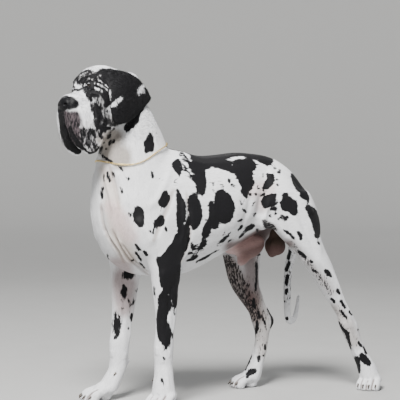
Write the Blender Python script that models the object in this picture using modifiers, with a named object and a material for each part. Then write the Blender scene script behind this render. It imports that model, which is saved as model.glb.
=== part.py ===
"""A great dane standing square with its head raised, as a still life-size model.

The dog faces -X and its left side is towards -Y. Everything is in metres. The body is fused from
lofts and muscles, smoothed, and parted with thin cuts where a person would name its parts.
"""
import math

import bmesh
import bpy
import numpy as np
from mathutils import Matrix, Vector
from mathutils.bvhtree import BVHTree

# Driving dimensions
WITHERS = 0.862           # floor to the top of the shoulders
GAP = 0.0003              # clearance between neighbours that touch
BODY_VOXEL = 0.0070
HEAD_VOXEL = 0.0030
PAW_VOXEL = 0.0030
EAR_VOXEL = 0.0028
NOSE_VOXEL = 0.0020
SMALL_VOXEL = 0.0045
RING = 24                 # points round a loft
FLOOR_BELOW = -0.2        # how far under the floor the cutting boxes reach

BODY_TRIANGLES = 4000
HEAD_TRIANGLES = 2200
PAW_TRIANGLES = 380
EAR_TRIANGLES = 380
NOSE_TRIANGLES = 240
JAW_TRIANGLES = 360

HEAD_AT = Vector((-0.523, 0.0, 1.054))     # middle of the skull, between the ears
HEAD_YAW, HEAD_PITCH, HEAD_ROLL = (math.radians(a) for a in (14.0, -7.5, -5.0))
EYE_RADIUS = 0.0125
EYE_AT = (0.0835, 0.0365, 0.0400)          # forward, out and up in the head's own frame
LID = 0.0028
COLLAR_WIRE = 0.0020
COLLAR_SAG = 0.026
CLAW_LENGTH = 0.018
EYE_SIDES = 14
EYE_LOOK = 24                              # degrees that each eye looks outward
FORE_TOES, HIND_TOES = 0.0245, 0.0205      # spacing of the toes
HIND_SCALE = 0.93

SIDES = {"left": -1, "right": 1}

# place on the floor, degrees turned out, height of the toes
FORE_PAW = {"left": ((-0.366, 0.128), 32, 1.0), "right": ((-0.496, 0.103), 0, 0.86)}
HIND_PAW = {"left": ((0.464, 0.140), 38, 1.0), "right": ((0.091, 0.105), 8, 1.0)}


def clear_scene():
    for old in list(bpy.data.objects):
        bpy.data.objects.remove(old, do_unlink=True)


clear_scene()
DOG = bpy.data.collections.new("great_dane")
CUTTERS = bpy.data.collections.new("cutters")
bpy.context.scene.collection.children.link(DOG)
bpy.context.scene.collection.children.link(CUTTERS)


# Mesh helpers

def new_object(name, mesh, collection=CUTTERS):
    made = bpy.data.objects.new(name, mesh)
    collection.objects.link(made)
    if collection is CUTTERS:
        made.hide_render = True
        made.display_type = "WIRE"
    return made


def drop(*objects):
    for gone in objects:
        mesh = gone.data
        bpy.data.objects.remove(gone, do_unlink=True)
        bpy.data.meshes.remove(mesh)


def bake(piece):
    """Puts what the modifiers make into the mesh itself."""
    bpy.context.view_layer.update()
    seen = piece.evaluated_get(bpy.context.evaluated_depsgraph_get())
    mesh = bpy.data.meshes.new_from_object(seen)
    old = piece.data
    piece.modifiers.clear()
    piece.data = mesh
    bpy.data.meshes.remove(old)
    return piece


def spline_rows(rows, per_gap):
    """Rows of numbers with more worked in between by a Catmull-Rom curve."""
    rows = np.asarray(rows, float)
    ends = np.vstack([2 * rows[0] - rows[1], rows, 2 * rows[-1] - rows[-2]])
    out = []
    for i in range(len(rows) - 1):
        p0, p1, p2, p3 = ends[i:i + 4]
        for k in range(per_gap):
            t = k / per_gap
            out.append(0.5 * (2 * p1 + (p2 - p0) * t + (2 * p0 - 5 * p1 + 4 * p2 - p3) * t ** 2
                              + (3 * p1 - p0 - 3 * p2 + p3) * t ** 3))
    out.append(rows[-1])
    return np.array(out)


def skin_over(rings, name):
    """A closed tube over rings of equal count, with a flat face at each end."""
    bm = bmesh.new()
    loops = [[bm.verts.new(p) for p in ring] for ring in rings]
    count = len(loops[0])
    for a, b in zip(loops, loops[1:]):
        for k in range(count):
            bm.faces.new((a[k], a[(k + 1) % count], b[(k + 1) % count], b[k]))
    bm.faces.new(loops[0])
    bm.faces.new(loops[-1])
    bmesh.ops.recalc_face_normals(bm, faces=bm.faces)
    mesh = bpy.data.meshes.new(name)
    bm.to_mesh(mesh)
    bm.free()
    return new_object(name, mesh)


def egg_ring(centre, u, v, reach, count=RING, round_off=1.0):
    """A ring of four quarter ellipses: reach is how far it goes to +u, -u, +v and -v.

    round_off below 1 makes the quarters squarer.
    """
    ring = []
    for k in range(count):
        a = math.tau * k / count
        c, s = math.cos(a), math.sin(a)
        c = math.copysign(abs(c) ** round_off, c)
        s = math.copysign(abs(s) ** round_off, s)
        ru = max(reach[0] if c > 0 else reach[1], 0.001)
        rv = max(reach[2] if s > 0 else reach[3], 0.001)
        ring.append(Vector(centre) + Vector(u) * (c * ru) + Vector(v) * (s * rv))
    return ring


def muscle(a, b, wide, thick, flat_to=(0, 1, 0), past=0.0, sides=20):
    """An ellipsoid from point a to point b, thick along flat_to and wide across it."""
    a, b = Vector(a), Vector(b)
    along = (b - a).normalized()
    thin = (Vector(flat_to) - along * along.dot(Vector(flat_to))).normalized()
    broad = thin.cross(along)
    half = (b - a).length / 2 + past
    bpy.ops.mesh.primitive_uv_sphere_add(segments=sides, ring_count=sides * 2 // 3, radius=1)
    made = bpy.context.object
    turn = Matrix((broad, thin, along)).transposed().to_4x4()
    size = Matrix.Diagonal((wide, thick, half, 1))
    made.data.transform(Matrix.Translation((a + b) / 2) @ turn @ size)
    for home in list(made.users_collection):
        home.objects.unlink(made)
    CUTTERS.objects.link(made)
    made.hide_render = True
    made.display_type = "WIRE"
    return made


def lump(centre, radii):
    """An ellipsoid lined up with the axes."""
    x, y, z = centre
    return muscle((x, y, z - radii[2]), (x, y, z + radii[2]), radii[0], radii[1])


def fuse(name, pieces, voxel, smooth, triangles, collection=DOG):
    """Joins overlapping closed pieces into one smooth body with about so many triangles."""
    bm = bmesh.new()
    for piece in pieces:
        bm.from_mesh(piece.data)
    mesh = bpy.data.meshes.new(name)
    bm.to_mesh(mesh)
    bm.free()
    drop(*pieces)
    made = new_object(name, mesh, collection)
    remesh = made.modifiers.new("fuse", "REMESH")
    remesh.mode = "VOXEL"
    remesh.voxel_size = voxel
    soften = made.modifiers.new("soften", "SMOOTH")
    soften.iterations = smooth
    soften.factor = 0.5
    bake(made)
    keep_largest(made)
    if triangles:
        thin_out(made, triangles)
    return made


def thin_out(piece, triangles):
    piece.data.calc_loop_triangles()
    decimate = piece.modifiers.new("thin", "DECIMATE")
    decimate.ratio = min(1.0, triangles / len(piece.data.loop_triangles))
    decimate.use_collapse_triangulate = True
    bake(piece)


def islands(bm):
    left = set(bm.verts)
    while left:
        stack = [left.pop()]
        group = set(stack)
        while stack:
            for edge in stack.pop().link_edges:
                for vert in edge.verts:
                    if vert not in group:
                        group.add(vert)
                        left.discard(vert)
                        stack.append(vert)
        yield group


def keep_largest(piece):
    """Drops loose scraps and anything sealed inside."""
    bm = bmesh.new()
    bm.from_mesh(piece.data)
    bmesh.ops.remove_doubles(bm, verts=bm.verts, dist=0.000002)
    groups = sorted(islands(bm), key=len)
    for group in groups[:-1]:
        bmesh.ops.delete(bm, geom=list(group), context="VERTS")
    bmesh.ops.triangulate(bm, faces=bm.faces)
    bm.to_mesh(piece.data)
    bm.free()
    return piece


def inflated(piece, distance):
    """A copy with every point moved out along its normal."""
    mesh = piece.data.copy()
    points = np.empty(len(mesh.vertices) * 3)
    normals = np.empty(len(mesh.vertices) * 3)
    mesh.vertices.foreach_get("co", points)
    mesh.vertex_normals.foreach_get("vector", normals)
    mesh.vertices.foreach_set("co", points + normals * distance)
    return new_object(piece.name + "_clear", mesh)


def boolean(piece, tool, operation="DIFFERENCE", solver="EXACT"):
    cut = piece.modifiers.new("cut", "BOOLEAN")
    cut.operation = operation
    cut.solver = solver
    cut.object = tool
    bake(piece)
    drop(tool)
    keep_largest(piece)
    return piece


def make_room(piece, neighbour, solver="EXACT"):
    """Cuts from piece the space that neighbour takes, with a clearance round it."""
    return boolean(piece, inflated(neighbour, GAP * 1.4), solver=solver)


def block(centre, size, turn=None, grow=0.0):
    """A box for cutting, turned about its centre."""
    bpy.ops.mesh.primitive_cube_add(size=1)
    made = bpy.context.object
    for home in list(made.users_collection):
        home.objects.unlink(made)
    CUTTERS.objects.link(made)
    made.hide_render = True
    made.display_type = "WIRE"
    scale = Matrix.Diagonal([s + 2 * grow for s in size] + [1])
    made.data.transform(Matrix.Translation(centre) @ (turn or Matrix.Identity(4)) @ scale)
    return made


def faced_out(piece):
    bm = bmesh.new()
    bm.from_mesh(piece.data)
    bmesh.ops.recalc_face_normals(bm, faces=bm.faces)
    bm.to_mesh(piece.data)
    bm.free()
    return piece


def half_space(point, normal, across=(0, 1, 0), reach=1.2, grow=0.0):
    """A big box whose one face passes through point, on the side that normal points to."""
    normal = Vector(normal).normalized()
    across = (Vector(across) - normal * normal.dot(Vector(across))).normalized()
    third = normal.cross(across)
    turn = Matrix((across, third, normal)).transposed().to_4x4()
    centre = Vector(point) + normal * (reach / 2 - grow)
    return block(centre, (reach, reach, reach), turn)


def copy_of(piece, name, collection=DOG):
    return new_object(name, piece.data.copy(), collection)


def part_off(whole, name, region):
    """Takes the region off the whole as a node of its own, with a thin cut between them."""
    taken = copy_of(whole, name)
    boolean(taken, region(0.0), "INTERSECT")
    boolean(whole, region(GAP))
    return taken


# Body: lofts along the trunk, then the neck, then each leg

def torso():
    # x, height of the widest place, reach up, reach down, half width
    rows = [(-0.562, 0.675, 0.030, 0.045, 0.032), (-0.547, 0.672, 0.075, 0.105, 0.076),
            (-0.510, 0.660, 0.130, 0.162, 0.116), (-0.450, 0.642, 0.190, 0.190, 0.138),
            (-0.380, 0.635, 0.225, 0.200, 0.146), (-0.310, 0.635, 0.238, 0.203, 0.150),
            (-0.240, 0.635, WITHERS - 0.635, 0.200, 0.152), (-0.175, 0.640, 0.205, 0.181, 0.151),
            (-0.100, 0.655, 0.193, 0.161, 0.143), (-0.030, 0.675, 0.180, 0.146, 0.126),
            (0.050, 0.700, 0.150, 0.135, 0.107), (0.120, 0.715, 0.120, 0.120, 0.100),
            (0.180, 0.712, 0.084, 0.110, 0.099), (0.226, 0.685, 0.048, 0.090, 0.084),
            (0.252, 0.658, 0.026, 0.060, 0.052)]
    rings = [egg_ring((x, 0, z), (0, -1, 0), (0, 0, 1), (wide, wide, up, down))
             for x, z, up, down, wide in spline_rows(rows, 3)]
    return skin_over(rings, "torso_loft")


def neck(top=1.10):
    # height, x, reach forward, reach back, half width
    rows = [(1.100, -0.475, 0.045, 0.045, 0.055), (1.050, -0.462, 0.060, 0.062, 0.066),
            (1.000, -0.445, 0.078, 0.083, 0.074), (0.950, -0.432, 0.094, 0.100, 0.080),
            (0.890, -0.425, 0.112, 0.122, 0.088), (0.830, -0.420, 0.130, 0.137, 0.102),
            (0.770, -0.410, 0.150, 0.150, 0.118), (0.700, -0.405, 0.155, 0.140, 0.128),
            (0.620, -0.400, 0.120, 0.110, 0.110)]
    rings = [egg_ring((x, 0, z), (-1, 0, 0), (0, -1, 0), (front, back, wide, wide))
             for z, x, front, back, wide in spline_rows(rows, 3) if z <= top]
    return skin_over(rings, "neck_loft")


def limb(side, rows, name):
    """A leg down its length. Each row: z, x, out, forward, back, outer, inner, turned out."""
    rings = []
    for z, x, out, front, back, outer, inner, turn in spline_rows(rows, 3):
        t = math.radians(turn)
        ahead = Vector((-math.cos(t), side * math.sin(t), 0))
        beside = Vector((math.sin(t), side * math.cos(t), 0))
        rings.append(egg_ring((x, side * out, z), ahead, beside, (front, back, outer, inner)))
    return skin_over(rings, name)


# height: reach forward, back, outer, inner
FORELEG = {0.560: (0.075, 0.075, 0.040, 0.045), 0.500: (0.068, 0.070, 0.045, 0.045),
           0.450: (0.052, 0.056, 0.045, 0.045), 0.400: (0.046, 0.046, 0.042, 0.040),
           0.350: (0.041, 0.042, 0.037, 0.035), 0.300: (0.037, 0.038, 0.033, 0.031),
           0.250: (0.034, 0.034, 0.031, 0.030), 0.210: (0.036, 0.034, 0.033, 0.032),
           0.180: (0.036, 0.034, 0.033, 0.032), 0.145: (0.030, 0.033, 0.031, 0.030),
           0.110: (0.030, 0.034, 0.033, 0.032), 0.080: (0.036, 0.034, 0.036, 0.036),
           0.050: (0.044, 0.036, 0.040, 0.040), 0.030: (0.044, 0.036, 0.040, 0.040)}
# height: x, out, turned out
FORELEG_LINE = {
    "left": {0.560: (-0.360, 0.112, 0), 0.450: (-0.358, 0.118, 0), 0.400: (-0.357, 0.116, 4),
             0.300: (-0.353, 0.111, 15), 0.210: (-0.359, 0.108, 25), 0.145: (-0.362, 0.111, 30),
             0.080: (-0.365, 0.119, 32), 0.030: (-0.366, 0.125, 32)},
    "right": {0.560: (-0.385, 0.112, 0), 0.450: (-0.394, 0.114, 0), 0.400: (-0.400, 0.108, 1),
              0.300: (-0.412, 0.102, 3), 0.210: (-0.424, 0.100, 5), 0.145: (-0.430, 0.100, 7),
              0.110: (-0.434, 0.102, 8), 0.080: (-0.445, 0.103, 8), 0.030: (-0.470, 0.104, 8)}}

HINDLEG = {0.720: (0.100, 0.068, 0.055, 0.060), 0.660: (0.122, 0.090, 0.055, 0.060),
           0.600: (0.116, 0.100, 0.052, 0.060), 0.550: (0.090, 0.087, 0.048, 0.055),
           0.500: (0.076, 0.076, 0.044, 0.050), 0.450: (0.062, 0.062, 0.040, 0.044),
           0.400: (0.052, 0.053, 0.036, 0.038), 0.350: (0.042, 0.043, 0.031, 0.032),
           0.300: (0.034, 0.035, 0.027, 0.027), 0.265: (0.034, 0.040, 0.026, 0.026),
           0.235: (0.038, 0.051, 0.027, 0.027), 0.200: (0.034, 0.038, 0.026, 0.026),
           0.160: (0.027, 0.031, 0.026, 0.026), 0.120: (0.028, 0.031, 0.029, 0.029),
           0.085: (0.031, 0.032, 0.034, 0.034), 0.050: (0.036, 0.034, 0.037, 0.037),
           0.030: (0.036, 0.034, 0.035, 0.035)}
HINDLEG_LINE = {
    "left": {0.720: (0.160, 0.080, 0), 0.660: (0.165, 0.090, 0), 0.600: (0.175, 0.098, 0),
             0.550: (0.190, 0.105, 0), 0.500: (0.222, 0.112, 2), 0.450: (0.254, 0.116, 4),
             0.400: (0.283, 0.118, 6), 0.350: (0.309, 0.120, 10), 0.300: (0.339, 0.121, 14),
             0.265: (0.362, 0.122, 18), 0.235: (0.372, 0.122, 20), 0.200: (0.388, 0.123, 24),
             0.160: (0.406, 0.125, 28), 0.120: (0.427, 0.128, 33), 0.085: (0.446, 0.132, 36),
             0.030: (0.465, 0.137, 38)},
    "right": {0.720: (0.150, 0.080, 0), 0.660: (0.125, 0.090, 0), 0.600: (0.102, 0.098, 0),
              0.550: (0.084, 0.106, 0), 0.500: (0.073, 0.112, 0), 0.450: (0.072, 0.114, 0),
              0.400: (0.073, 0.112, 0), 0.350: (0.087, 0.108, 0), 0.300: (0.115, 0.105, 0),
              0.265: (0.136, 0.103, 2), 0.235: (0.146, 0.102, 2), 0.200: (0.147, 0.101, 3),
              0.160: (0.143, 0.100, 4), 0.120: (0.134, 0.101, 6), 0.085: (0.122, 0.103, 8),
              0.030: (0.106, 0.104, 8)}}


FORE_DEPTH = {"left": {0.03: 1.0, 0.30: 1.0}, "right": {0.03: 0.90, 0.10: 0.95, 0.20: 1.05, 0.50: 1.10}}
HIND_DEPTH = {"left": {0.03: 1.08, 0.08: 1.14, 0.14: 1.16, 0.20: 1.08, 0.24: 0.98, 0.30: 0.86, 0.45: 0.88,
                       0.50: 0.80, 0.55: 0.86, 0.66: 0.97},
              "right": {0.03: 0.90, 0.20: 0.80, 0.235: 1.06, 0.26: 1.12, 0.32: 1.30, 0.40: 1.18,
                        0.47: 1.16, 0.60: 1.02}}


def leg_rows(shape, line, depth, top=9.0):
    """Joins a leg's section sizes to the line it follows on this dog.

    depth gives, by height, how much the forward and back reach is scaled.
    """
    heights, depths = sorted(line), sorted(depth)
    rows = []
    for z in sorted(shape, reverse=True):
        if z <= top:
            x, out, turn = (np.interp(z, heights, [line[h][k] for h in heights]) for k in range(3))
            deep = np.interp(z, depths, [depth[h] for h in depths])
            front, back, outer, inner = shape[z]
            rows.append((z, x, out, front * deep, back * deep, outer, inner, turn))
    return rows


def shoulder(side, forward):
    """Shoulder blade, upper arm, and the muscle behind it."""
    flat = (0, side, 0)
    return [muscle((-0.265, side * 0.058, 0.825), (-0.455, side * 0.118, 0.655), 0.078, 0.036, flat),
            muscle((-0.465, side * 0.108, 0.665), (-0.345 - forward, side * 0.118, 0.480),
                   0.066, 0.044, flat, 0.012),
            muscle((-0.275, side * 0.098, 0.680), (-0.330 - forward, side * 0.118, 0.470),
                   0.052, 0.036, flat, 0.010),
            lump((-0.318 - forward, side * 0.118, 0.464), (0.026, 0.022, 0.034)),
            lump((-0.485, side * 0.058, 0.636), (0.050, 0.051, 0.094))]


def haunch(side, ahead):
    """Hip, thigh and buttock. ahead is how far this leg's knee is set forward."""
    flat = (0, side, 0)
    return [muscle((0.060, side * 0.070, 0.790), (0.150 - ahead * 0.3, side * 0.118, 0.610),
                   0.075, 0.040, flat),
            muscle((0.217, side * 0.062, 0.694), (0.220 - ahead * 0.6, side * 0.105, 0.540),
                   0.046, 0.040, flat, 0.014)]


def flank(side):
    """The fold of skin from the belly to the stifle."""
    return muscle((-0.080, side * 0.080, 0.636), (0.110, side * 0.096, 0.606),
                  0.032, 0.020, (0, side, 0))


# Head, in its own frame: s forward, y out to a side, z up

HEAD = (Matrix.Translation(HEAD_AT) @ Matrix.Rotation(HEAD_YAW, 4, "Z")
        @ Matrix.Rotation(HEAD_PITCH, 4, "Y") @ Matrix.Rotation(HEAD_ROLL, 4, "X"))


def at_head(s, y, z):
    return HEAD @ Vector((-s, y, z))


def on_head(*pieces):
    """Moves pieces that were made in the head's frame to the head."""
    for piece in pieces:
        piece.data.transform(HEAD)
    return list(pieces)


def head_lump(s, y, z, radii):
    return lump((-s, y, z), radii)


def head_muscle(a, b, wide, thick, flat_to=(0, 1, 0), past=0.0, sides=20):
    return muscle((-a[0], a[1], a[2]), (-b[0], b[1], b[2]), wide, thick, flat_to, past, sides)


def head_loft(rows, name, round_off=1.0):
    """A loft from back to front. Each row: s, z, up, down, half width."""
    rings = [egg_ring((-s, 0, z), (0, 1, 0), (0, 0, 1), (wide, wide, up, down), round_off=round_off)
             for s, z, up, down, wide in spline_rows(rows, 3)]
    return skin_over(rings, name)


def skull_loft():
    return head_loft([(-0.125, 0.030, 0.024, 0.040, 0.030), (-0.105, 0.025, 0.038, 0.060, 0.056),
                      (-0.060, 0.020, 0.052, 0.085, 0.071), (0.000, 0.015, 0.084, 0.095, 0.077),
                      (0.045, 0.010, 0.088, 0.095, 0.074), (0.076, 0.004, 0.079, 0.090, 0.066),
                      (0.100, -0.006, 0.044, 0.090, 0.057), (0.128, -0.012, 0.033, 0.085, 0.050)],
                     "skull", 0.88)


def muzzle_loft():
    return head_loft([(0.060, -0.020, 0.030, 0.080, 0.050), (0.090, -0.015, 0.036, 0.085, 0.050),
                      (0.120, -0.018, 0.039, 0.090, 0.048), (0.150, -0.018, 0.038, 0.090, 0.047),
                      (0.170, -0.018, 0.034, 0.075, 0.043), (0.182, -0.022, 0.020, 0.050, 0.035),
                      (0.187, -0.025, 0.010, 0.028, 0.020)], "muzzle", 0.80)


def flew(side):
    """The hanging upper lip of one side."""
    # s, out, z, up, down, half thickness
    rows = [(0.190, 0.013, -0.056, 0.020, 0.022, 0.010), (0.186, 0.022, -0.072, 0.048, 0.044, 0.019),
            (0.176, 0.030, -0.088, 0.062, 0.061, 0.026), (0.158, 0.035, -0.098, 0.076, 0.073, 0.029),
            (0.138, 0.036, -0.102, 0.082, 0.084, 0.028), (0.115, 0.038, -0.100, 0.080, 0.085, 0.026),
            (0.090, 0.042, -0.092, 0.070, 0.074, 0.024), (0.065, 0.045, -0.080, 0.055, 0.058, 0.022),
            (0.040, 0.048, -0.070, 0.040, 0.040, 0.018)]
    rings = [egg_ring((-s, side * y, z), (0, side, 0), (0, 0, 1), (thick, thick, up, down),
                      round_off=0.72)
             for s, y, z, up, down, thick in spline_rows(rows, 3)]
    return skin_over(rings, "flew")


def head_pieces():
    pieces = [skull_loft(), muzzle_loft()]
    for side in SIDES.values():
        flat = (0, side, 0)
        pieces += [flew(side),
                   head_muscle((0.074, side * 0.020, 0.060), (0.060, side * 0.054, 0.052),
                               0.026, 0.020, (0, 0, 1), 0.006),
                   head_muscle((0.084, side * 0.038, 0.046), (0.070, side * 0.050, -0.020),
                               0.026, 0.022, flat, 0.010),
                   head_lump(0.040, side * 0.056, -0.020, (0.060, 0.026, 0.055)),
                   head_muscle((0.075, side * 0.056, -0.020), (0.030, side * 0.062, -0.120),
                               0.040, 0.020, flat),
                   head_muscle((0.105, side * 0.040, 0.018), (0.088, side * 0.058, -0.090),
                               0.016, 0.012, flat, 0.01)]
    pieces.append(head_lump(0.030, 0.0, -0.110, (0.070, 0.050, 0.055)))
    return on_head(*pieces)


def jaw_pieces():
    return on_head(head_loft([(0.010, -0.090, 0.025, 0.030, 0.026), (0.050, -0.105, 0.030, 0.046, 0.034),
                              (0.090, -0.112, 0.034, 0.053, 0.036), (0.125, -0.113, 0.036, 0.048, 0.033),
                              (0.148, -0.111, 0.035, 0.043, 0.030), (0.164, -0.108, 0.028, 0.034, 0.024),
                              (0.173, -0.106, 0.012, 0.014, 0.012)], "jaw", 0.85))


def nose_pieces():
    pieces = [head_loft([(0.148, -0.006, 0.016, 0.018, 0.020), (0.164, -0.007, 0.021, 0.022, 0.027),
                         (0.177, -0.009, 0.021, 0.024, 0.028), (0.186, -0.012, 0.016, 0.019, 0.022),
                         (0.191, -0.014, 0.008, 0.010, 0.012)], "leather", 0.9)]
    for side in SIDES.values():
        pieces.append(head_lump(0.174, side * 0.019, -0.010, (0.014, 0.012, 0.015)))
    return on_head(*pieces)


def nostril(side):
    return on_head(head_muscle((0.202, side * 0.011, -0.013), (0.174, side * 0.022, -0.009),
                               0.0062, 0.0052, (0, 0, 1), sides=10),
                   head_muscle((0.190, side * 0.020, -0.014), (0.166, side * 0.036, -0.019),
                               0.0050, 0.0022, (0, 0, 1), sides=8))


def ear_leaf(side):
    """A broad leaf laid back along the neck, cupped towards the head, with a thick root."""
    # Front edge s, out, z, then back edge s, out, z, then how far the middle bulges out
    rows = [(0.038, 0.056, 0.064, -0.025, 0.048, 0.073, 0.003), (0.046, 0.078, 0.027, -0.054, 0.064, 0.061, 0.012),
            (0.055, 0.089, -0.010, -0.080, 0.071, 0.043, 0.016), (0.063, 0.094, -0.055, -0.101, 0.074, 0.022, 0.016),
            (0.051, 0.094, -0.098, -0.116, 0.075, -0.002, 0.013), (0.006, 0.093, -0.102, -0.125, 0.074, -0.021, 0.009),
            (-0.064, 0.084, -0.073, -0.132, 0.073, -0.036, 0.003)]
    across = 9
    bm = bmesh.new()
    grid = []
    for row in spline_rows(rows, 3):
        front, back, bulge = Vector(row[0:3]), Vector(row[3:6]), row[6]
        line = []
        for k in range(across):
            t = k / (across - 1)
            p = front.lerp(back, t)
            out = p[1] + bulge * math.sin(math.pi * t) ** 0.8
            line.append(bm.verts.new((-p[0], side * out, p[2])))
        grid.append(line)
    for a, b in zip(grid, grid[1:]):
        for k in range(across - 1):
            bm.faces.new((a[k], a[k + 1], b[k + 1], b[k]))
    bmesh.ops.recalc_face_normals(bm, faces=bm.faces)
    mesh = bpy.data.meshes.new("leaf")
    bm.to_mesh(mesh)
    bm.free()
    leaf = new_object("leaf", mesh)
    shell = leaf.modifiers.new("thickness", "SOLIDIFY")
    shell.thickness = 0.0075
    shell.offset = 0
    bake(leaf)
    root = head_muscle((0.036, side * 0.058, 0.056), (-0.022, side * 0.052, 0.064), 0.018, 0.015)
    return on_head(leaf, root)


# Paws, in their own frame: f forward, o outward, z up from the floor

def paw_pieces(side, place, turn, spacing, scale, flat):
    """Four toes with their pads, the body of the foot and the large pad."""
    t = math.radians(turn)
    ahead = Vector((-math.cos(t), side * math.sin(t), 0))
    beside = Vector((math.sin(t), side * math.cos(t), 0))
    origin = Vector((place[0], side * place[1], 0))

    def at(f, o, z):
        return origin + ahead * (f * scale) + beside * o + Vector((0, 0, z * scale * flat))

    def pad(f, o, z, long, wide, high):
        return muscle(at(f - long, o, z), at(f + long, o, z), wide * scale, high * scale, (0, 0, 1))

    pieces = [pad(-0.010, 0, 0.038, 0.036, 0.037, 0.029), pad(-0.006, 0, 0.013, 0.030, 0.031, 0.018)]
    for toe in range(4):
        o = (toe - 1.5) * spacing
        reach = 0.010 if toe in (1, 2) else 0.0
        knuckle = at(0.026 + reach, o, 0.032)
        tip = at(0.047 + reach, o * 1.06, 0.0175)
        pieces += [muscle(at(-0.014, o * 0.7, 0.044), knuckle, 0.0138 * scale, 0.0150 * scale,
                          (0, 0, 1), 0.008),
                   muscle(knuckle, tip, 0.0132 * scale, 0.0155 * scale, (0, 0, 1), 0.013),
                   pad(0.044 + reach, o * 1.04, 0.008, 0.018, 0.0125, 0.011)]
    return pieces


def claw(side, place, turn, spacing, scale, flat, toe):
    """A short curved claw growing down and forward out of a toe."""
    t = math.radians(turn)
    ahead = Vector((-math.cos(t), side * math.sin(t), 0))
    beside = Vector((math.sin(t), side * math.cos(t), 0))
    o = (toe - 1.5) * spacing * 1.06
    reach = 0.010 if toe in (1, 2) else 0.0
    root = Vector((place[0], side * place[1], 0)) + ahead * ((0.054 + reach) * scale) + beside * o
    root.z = 0.0225 * scale * flat
    return hooked_claw(root, ahead, CLAW_LENGTH * (1.0 if toe in (1, 2) else 0.9), beside)


def hooked_claw(root, ahead, length, beside):
    """A tapering claw that bends down as it goes."""
    rings = []
    steps = 4
    point = Vector(root)
    for k in range(steps + 1):
        t = k / steps
        fall = math.radians(18 + 48 * t)
        along = ahead * math.cos(fall) - Vector((0, 0, math.sin(fall)))
        over = along.cross(beside).normalized()
        wide = 0.0036 * (1 - t) ** 0.6 + 0.0007
        deep = 0.0046 * (1 - t) ** 0.6 + 0.0008
        rings.append(egg_ring(point, beside, over, (wide, wide, deep, deep), 6))
        point = point + along * (length / steps)
    return skin_over(rings, "claw")


# Tail

TAIL_LINE = [(0.196, 0.000, 0.700, 0.026), (0.236, 0.004, 0.678, 0.029), (0.262, 0.022, 0.632, 0.0255),
             (0.280, 0.058, 0.572, 0.0215), (0.286, 0.100, 0.510, 0.0190), (0.285, 0.130, 0.455, 0.0170),
             (0.284, 0.147, 0.400, 0.0152), (0.283, 0.150, 0.320, 0.0140), (0.284, 0.150, 0.255, 0.0125),
             (0.291, 0.150, 0.224, 0.0115), (0.306, 0.150, 0.222, 0.0105), (0.320, 0.150, 0.246, 0.0095),
             (0.327, 0.150, 0.280, 0.0080), (0.332, 0.150, 0.318, 0.0055)]


def tail_tube():
    """The tail as a curve that thins towards its hooked tip."""
    points = spline_rows(TAIL_LINE, 2)
    curve = bpy.data.curves.new("tail_line", "CURVE")
    curve.dimensions = "3D"
    curve.bevel_depth = 1.0
    curve.bevel_resolution = 2
    curve.use_fill_caps = True
    line = curve.splines.new("POLY")
    line.points.add(len(points) - 1)
    for point, (x, y, z, radius) in zip(line.points, points):
        point.co = (x, y, z, 1)
        point.radius = radius
    rail = bpy.data.objects.new("tail_line", curve)
    CUTTERS.objects.link(rail)
    bpy.context.view_layer.update()
    mesh = bpy.data.meshes.new_from_object(rail.evaluated_get(bpy.context.evaluated_depsgraph_get()))
    bm = bmesh.new()
    bm.from_mesh(mesh)
    bmesh.ops.remove_doubles(bm, verts=bm.verts, dist=0.0001)
    bmesh.ops.recalc_face_normals(bm, faces=bm.faces)
    bm.to_mesh(mesh)
    bm.free()
    tube = new_object("tail", mesh, DOG)
    bpy.data.objects.remove(rail, do_unlink=True)
    return keep_largest(tube)


# Collar

def collar(neck_piece, front, back, wire=COLLAR_WIRE, around=44, sides=5):
    """A thin closed ring that lies on the neck and hangs lower at its sides."""
    front, back = Vector(front), Vector(back)
    centre = (front + back) / 2
    along = (front - back).normalized()
    across = Vector((0, -1, 0))
    tree = BVHTree.FromObject(neck_piece, bpy.context.evaluated_depsgraph_get())
    reach, ways, falls = [], [], []
    for k in range(around):
        a = math.tau * k / around
        way = along * math.cos(a) + across * math.sin(a)
        fall = Vector((0, 0, -COLLAR_SAG * math.sin(a) ** 2 * (1 + 0.9 * math.cos(a))))
        hit = tree.ray_cast(centre + fall + way * 0.5, -way)
        ways.append(way)
        falls.append(fall)
        reach.append((hit[0] - centre - fall).length)
    reach = np.array(reach)
    wide = np.max([np.roll(reach, k) for k in (-1, 0, 1)], axis=0)
    points = [centre + falls[k] + ways[k] * (wide[k] + wire + GAP * 2.0) for k in range(around)]
    rings = []
    up = along.cross(across).normalized()
    for k in range(around):
        ahead = (points[(k + 1) % around] - points[k - 1]).normalized()
        out = ahead.cross(up).normalized()
        rings.append(egg_ring(points[k], out, up, (wire,) * 4, sides))
    bm = bmesh.new()
    loops = [[bm.verts.new(p) for p in ring] for ring in rings]
    for a, b in zip(loops, loops[1:] + loops[:1]):
        for k in range(sides):
            bm.faces.new((a[k], a[(k + 1) % sides], b[(k + 1) % sides], b[k]))
    bmesh.ops.recalc_face_normals(bm, faces=bm.faces)
    mesh = bpy.data.meshes.new("chain_collar")
    bm.to_mesh(mesh)
    bm.free()
    return new_object("chain_collar", mesh, DOG)


# Build the trunk with its limbs as one body, then part it

def whole_body():
    pieces = [torso(), neck()] + head_pieces()
    for name, side in SIDES.items():
        ahead = 0.0 if name == "left" else 1.0
        pieces += shoulder(side, 0.035 * ahead)
        pieces += haunch(side, 0.075 * ahead)
        pieces.append(flank(side))
        pieces.append(limb(side, leg_rows(FORELEG, FORELEG_LINE[name], FORE_DEPTH[name]), "foreleg"))
        pieces.append(limb(side, leg_rows(HINDLEG, HINDLEG_LINE[name], HIND_DEPTH[name]), "hindleg"))
    return fuse("torso", pieces, BODY_VOXEL, 8, BODY_TRIANGLES)


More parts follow.
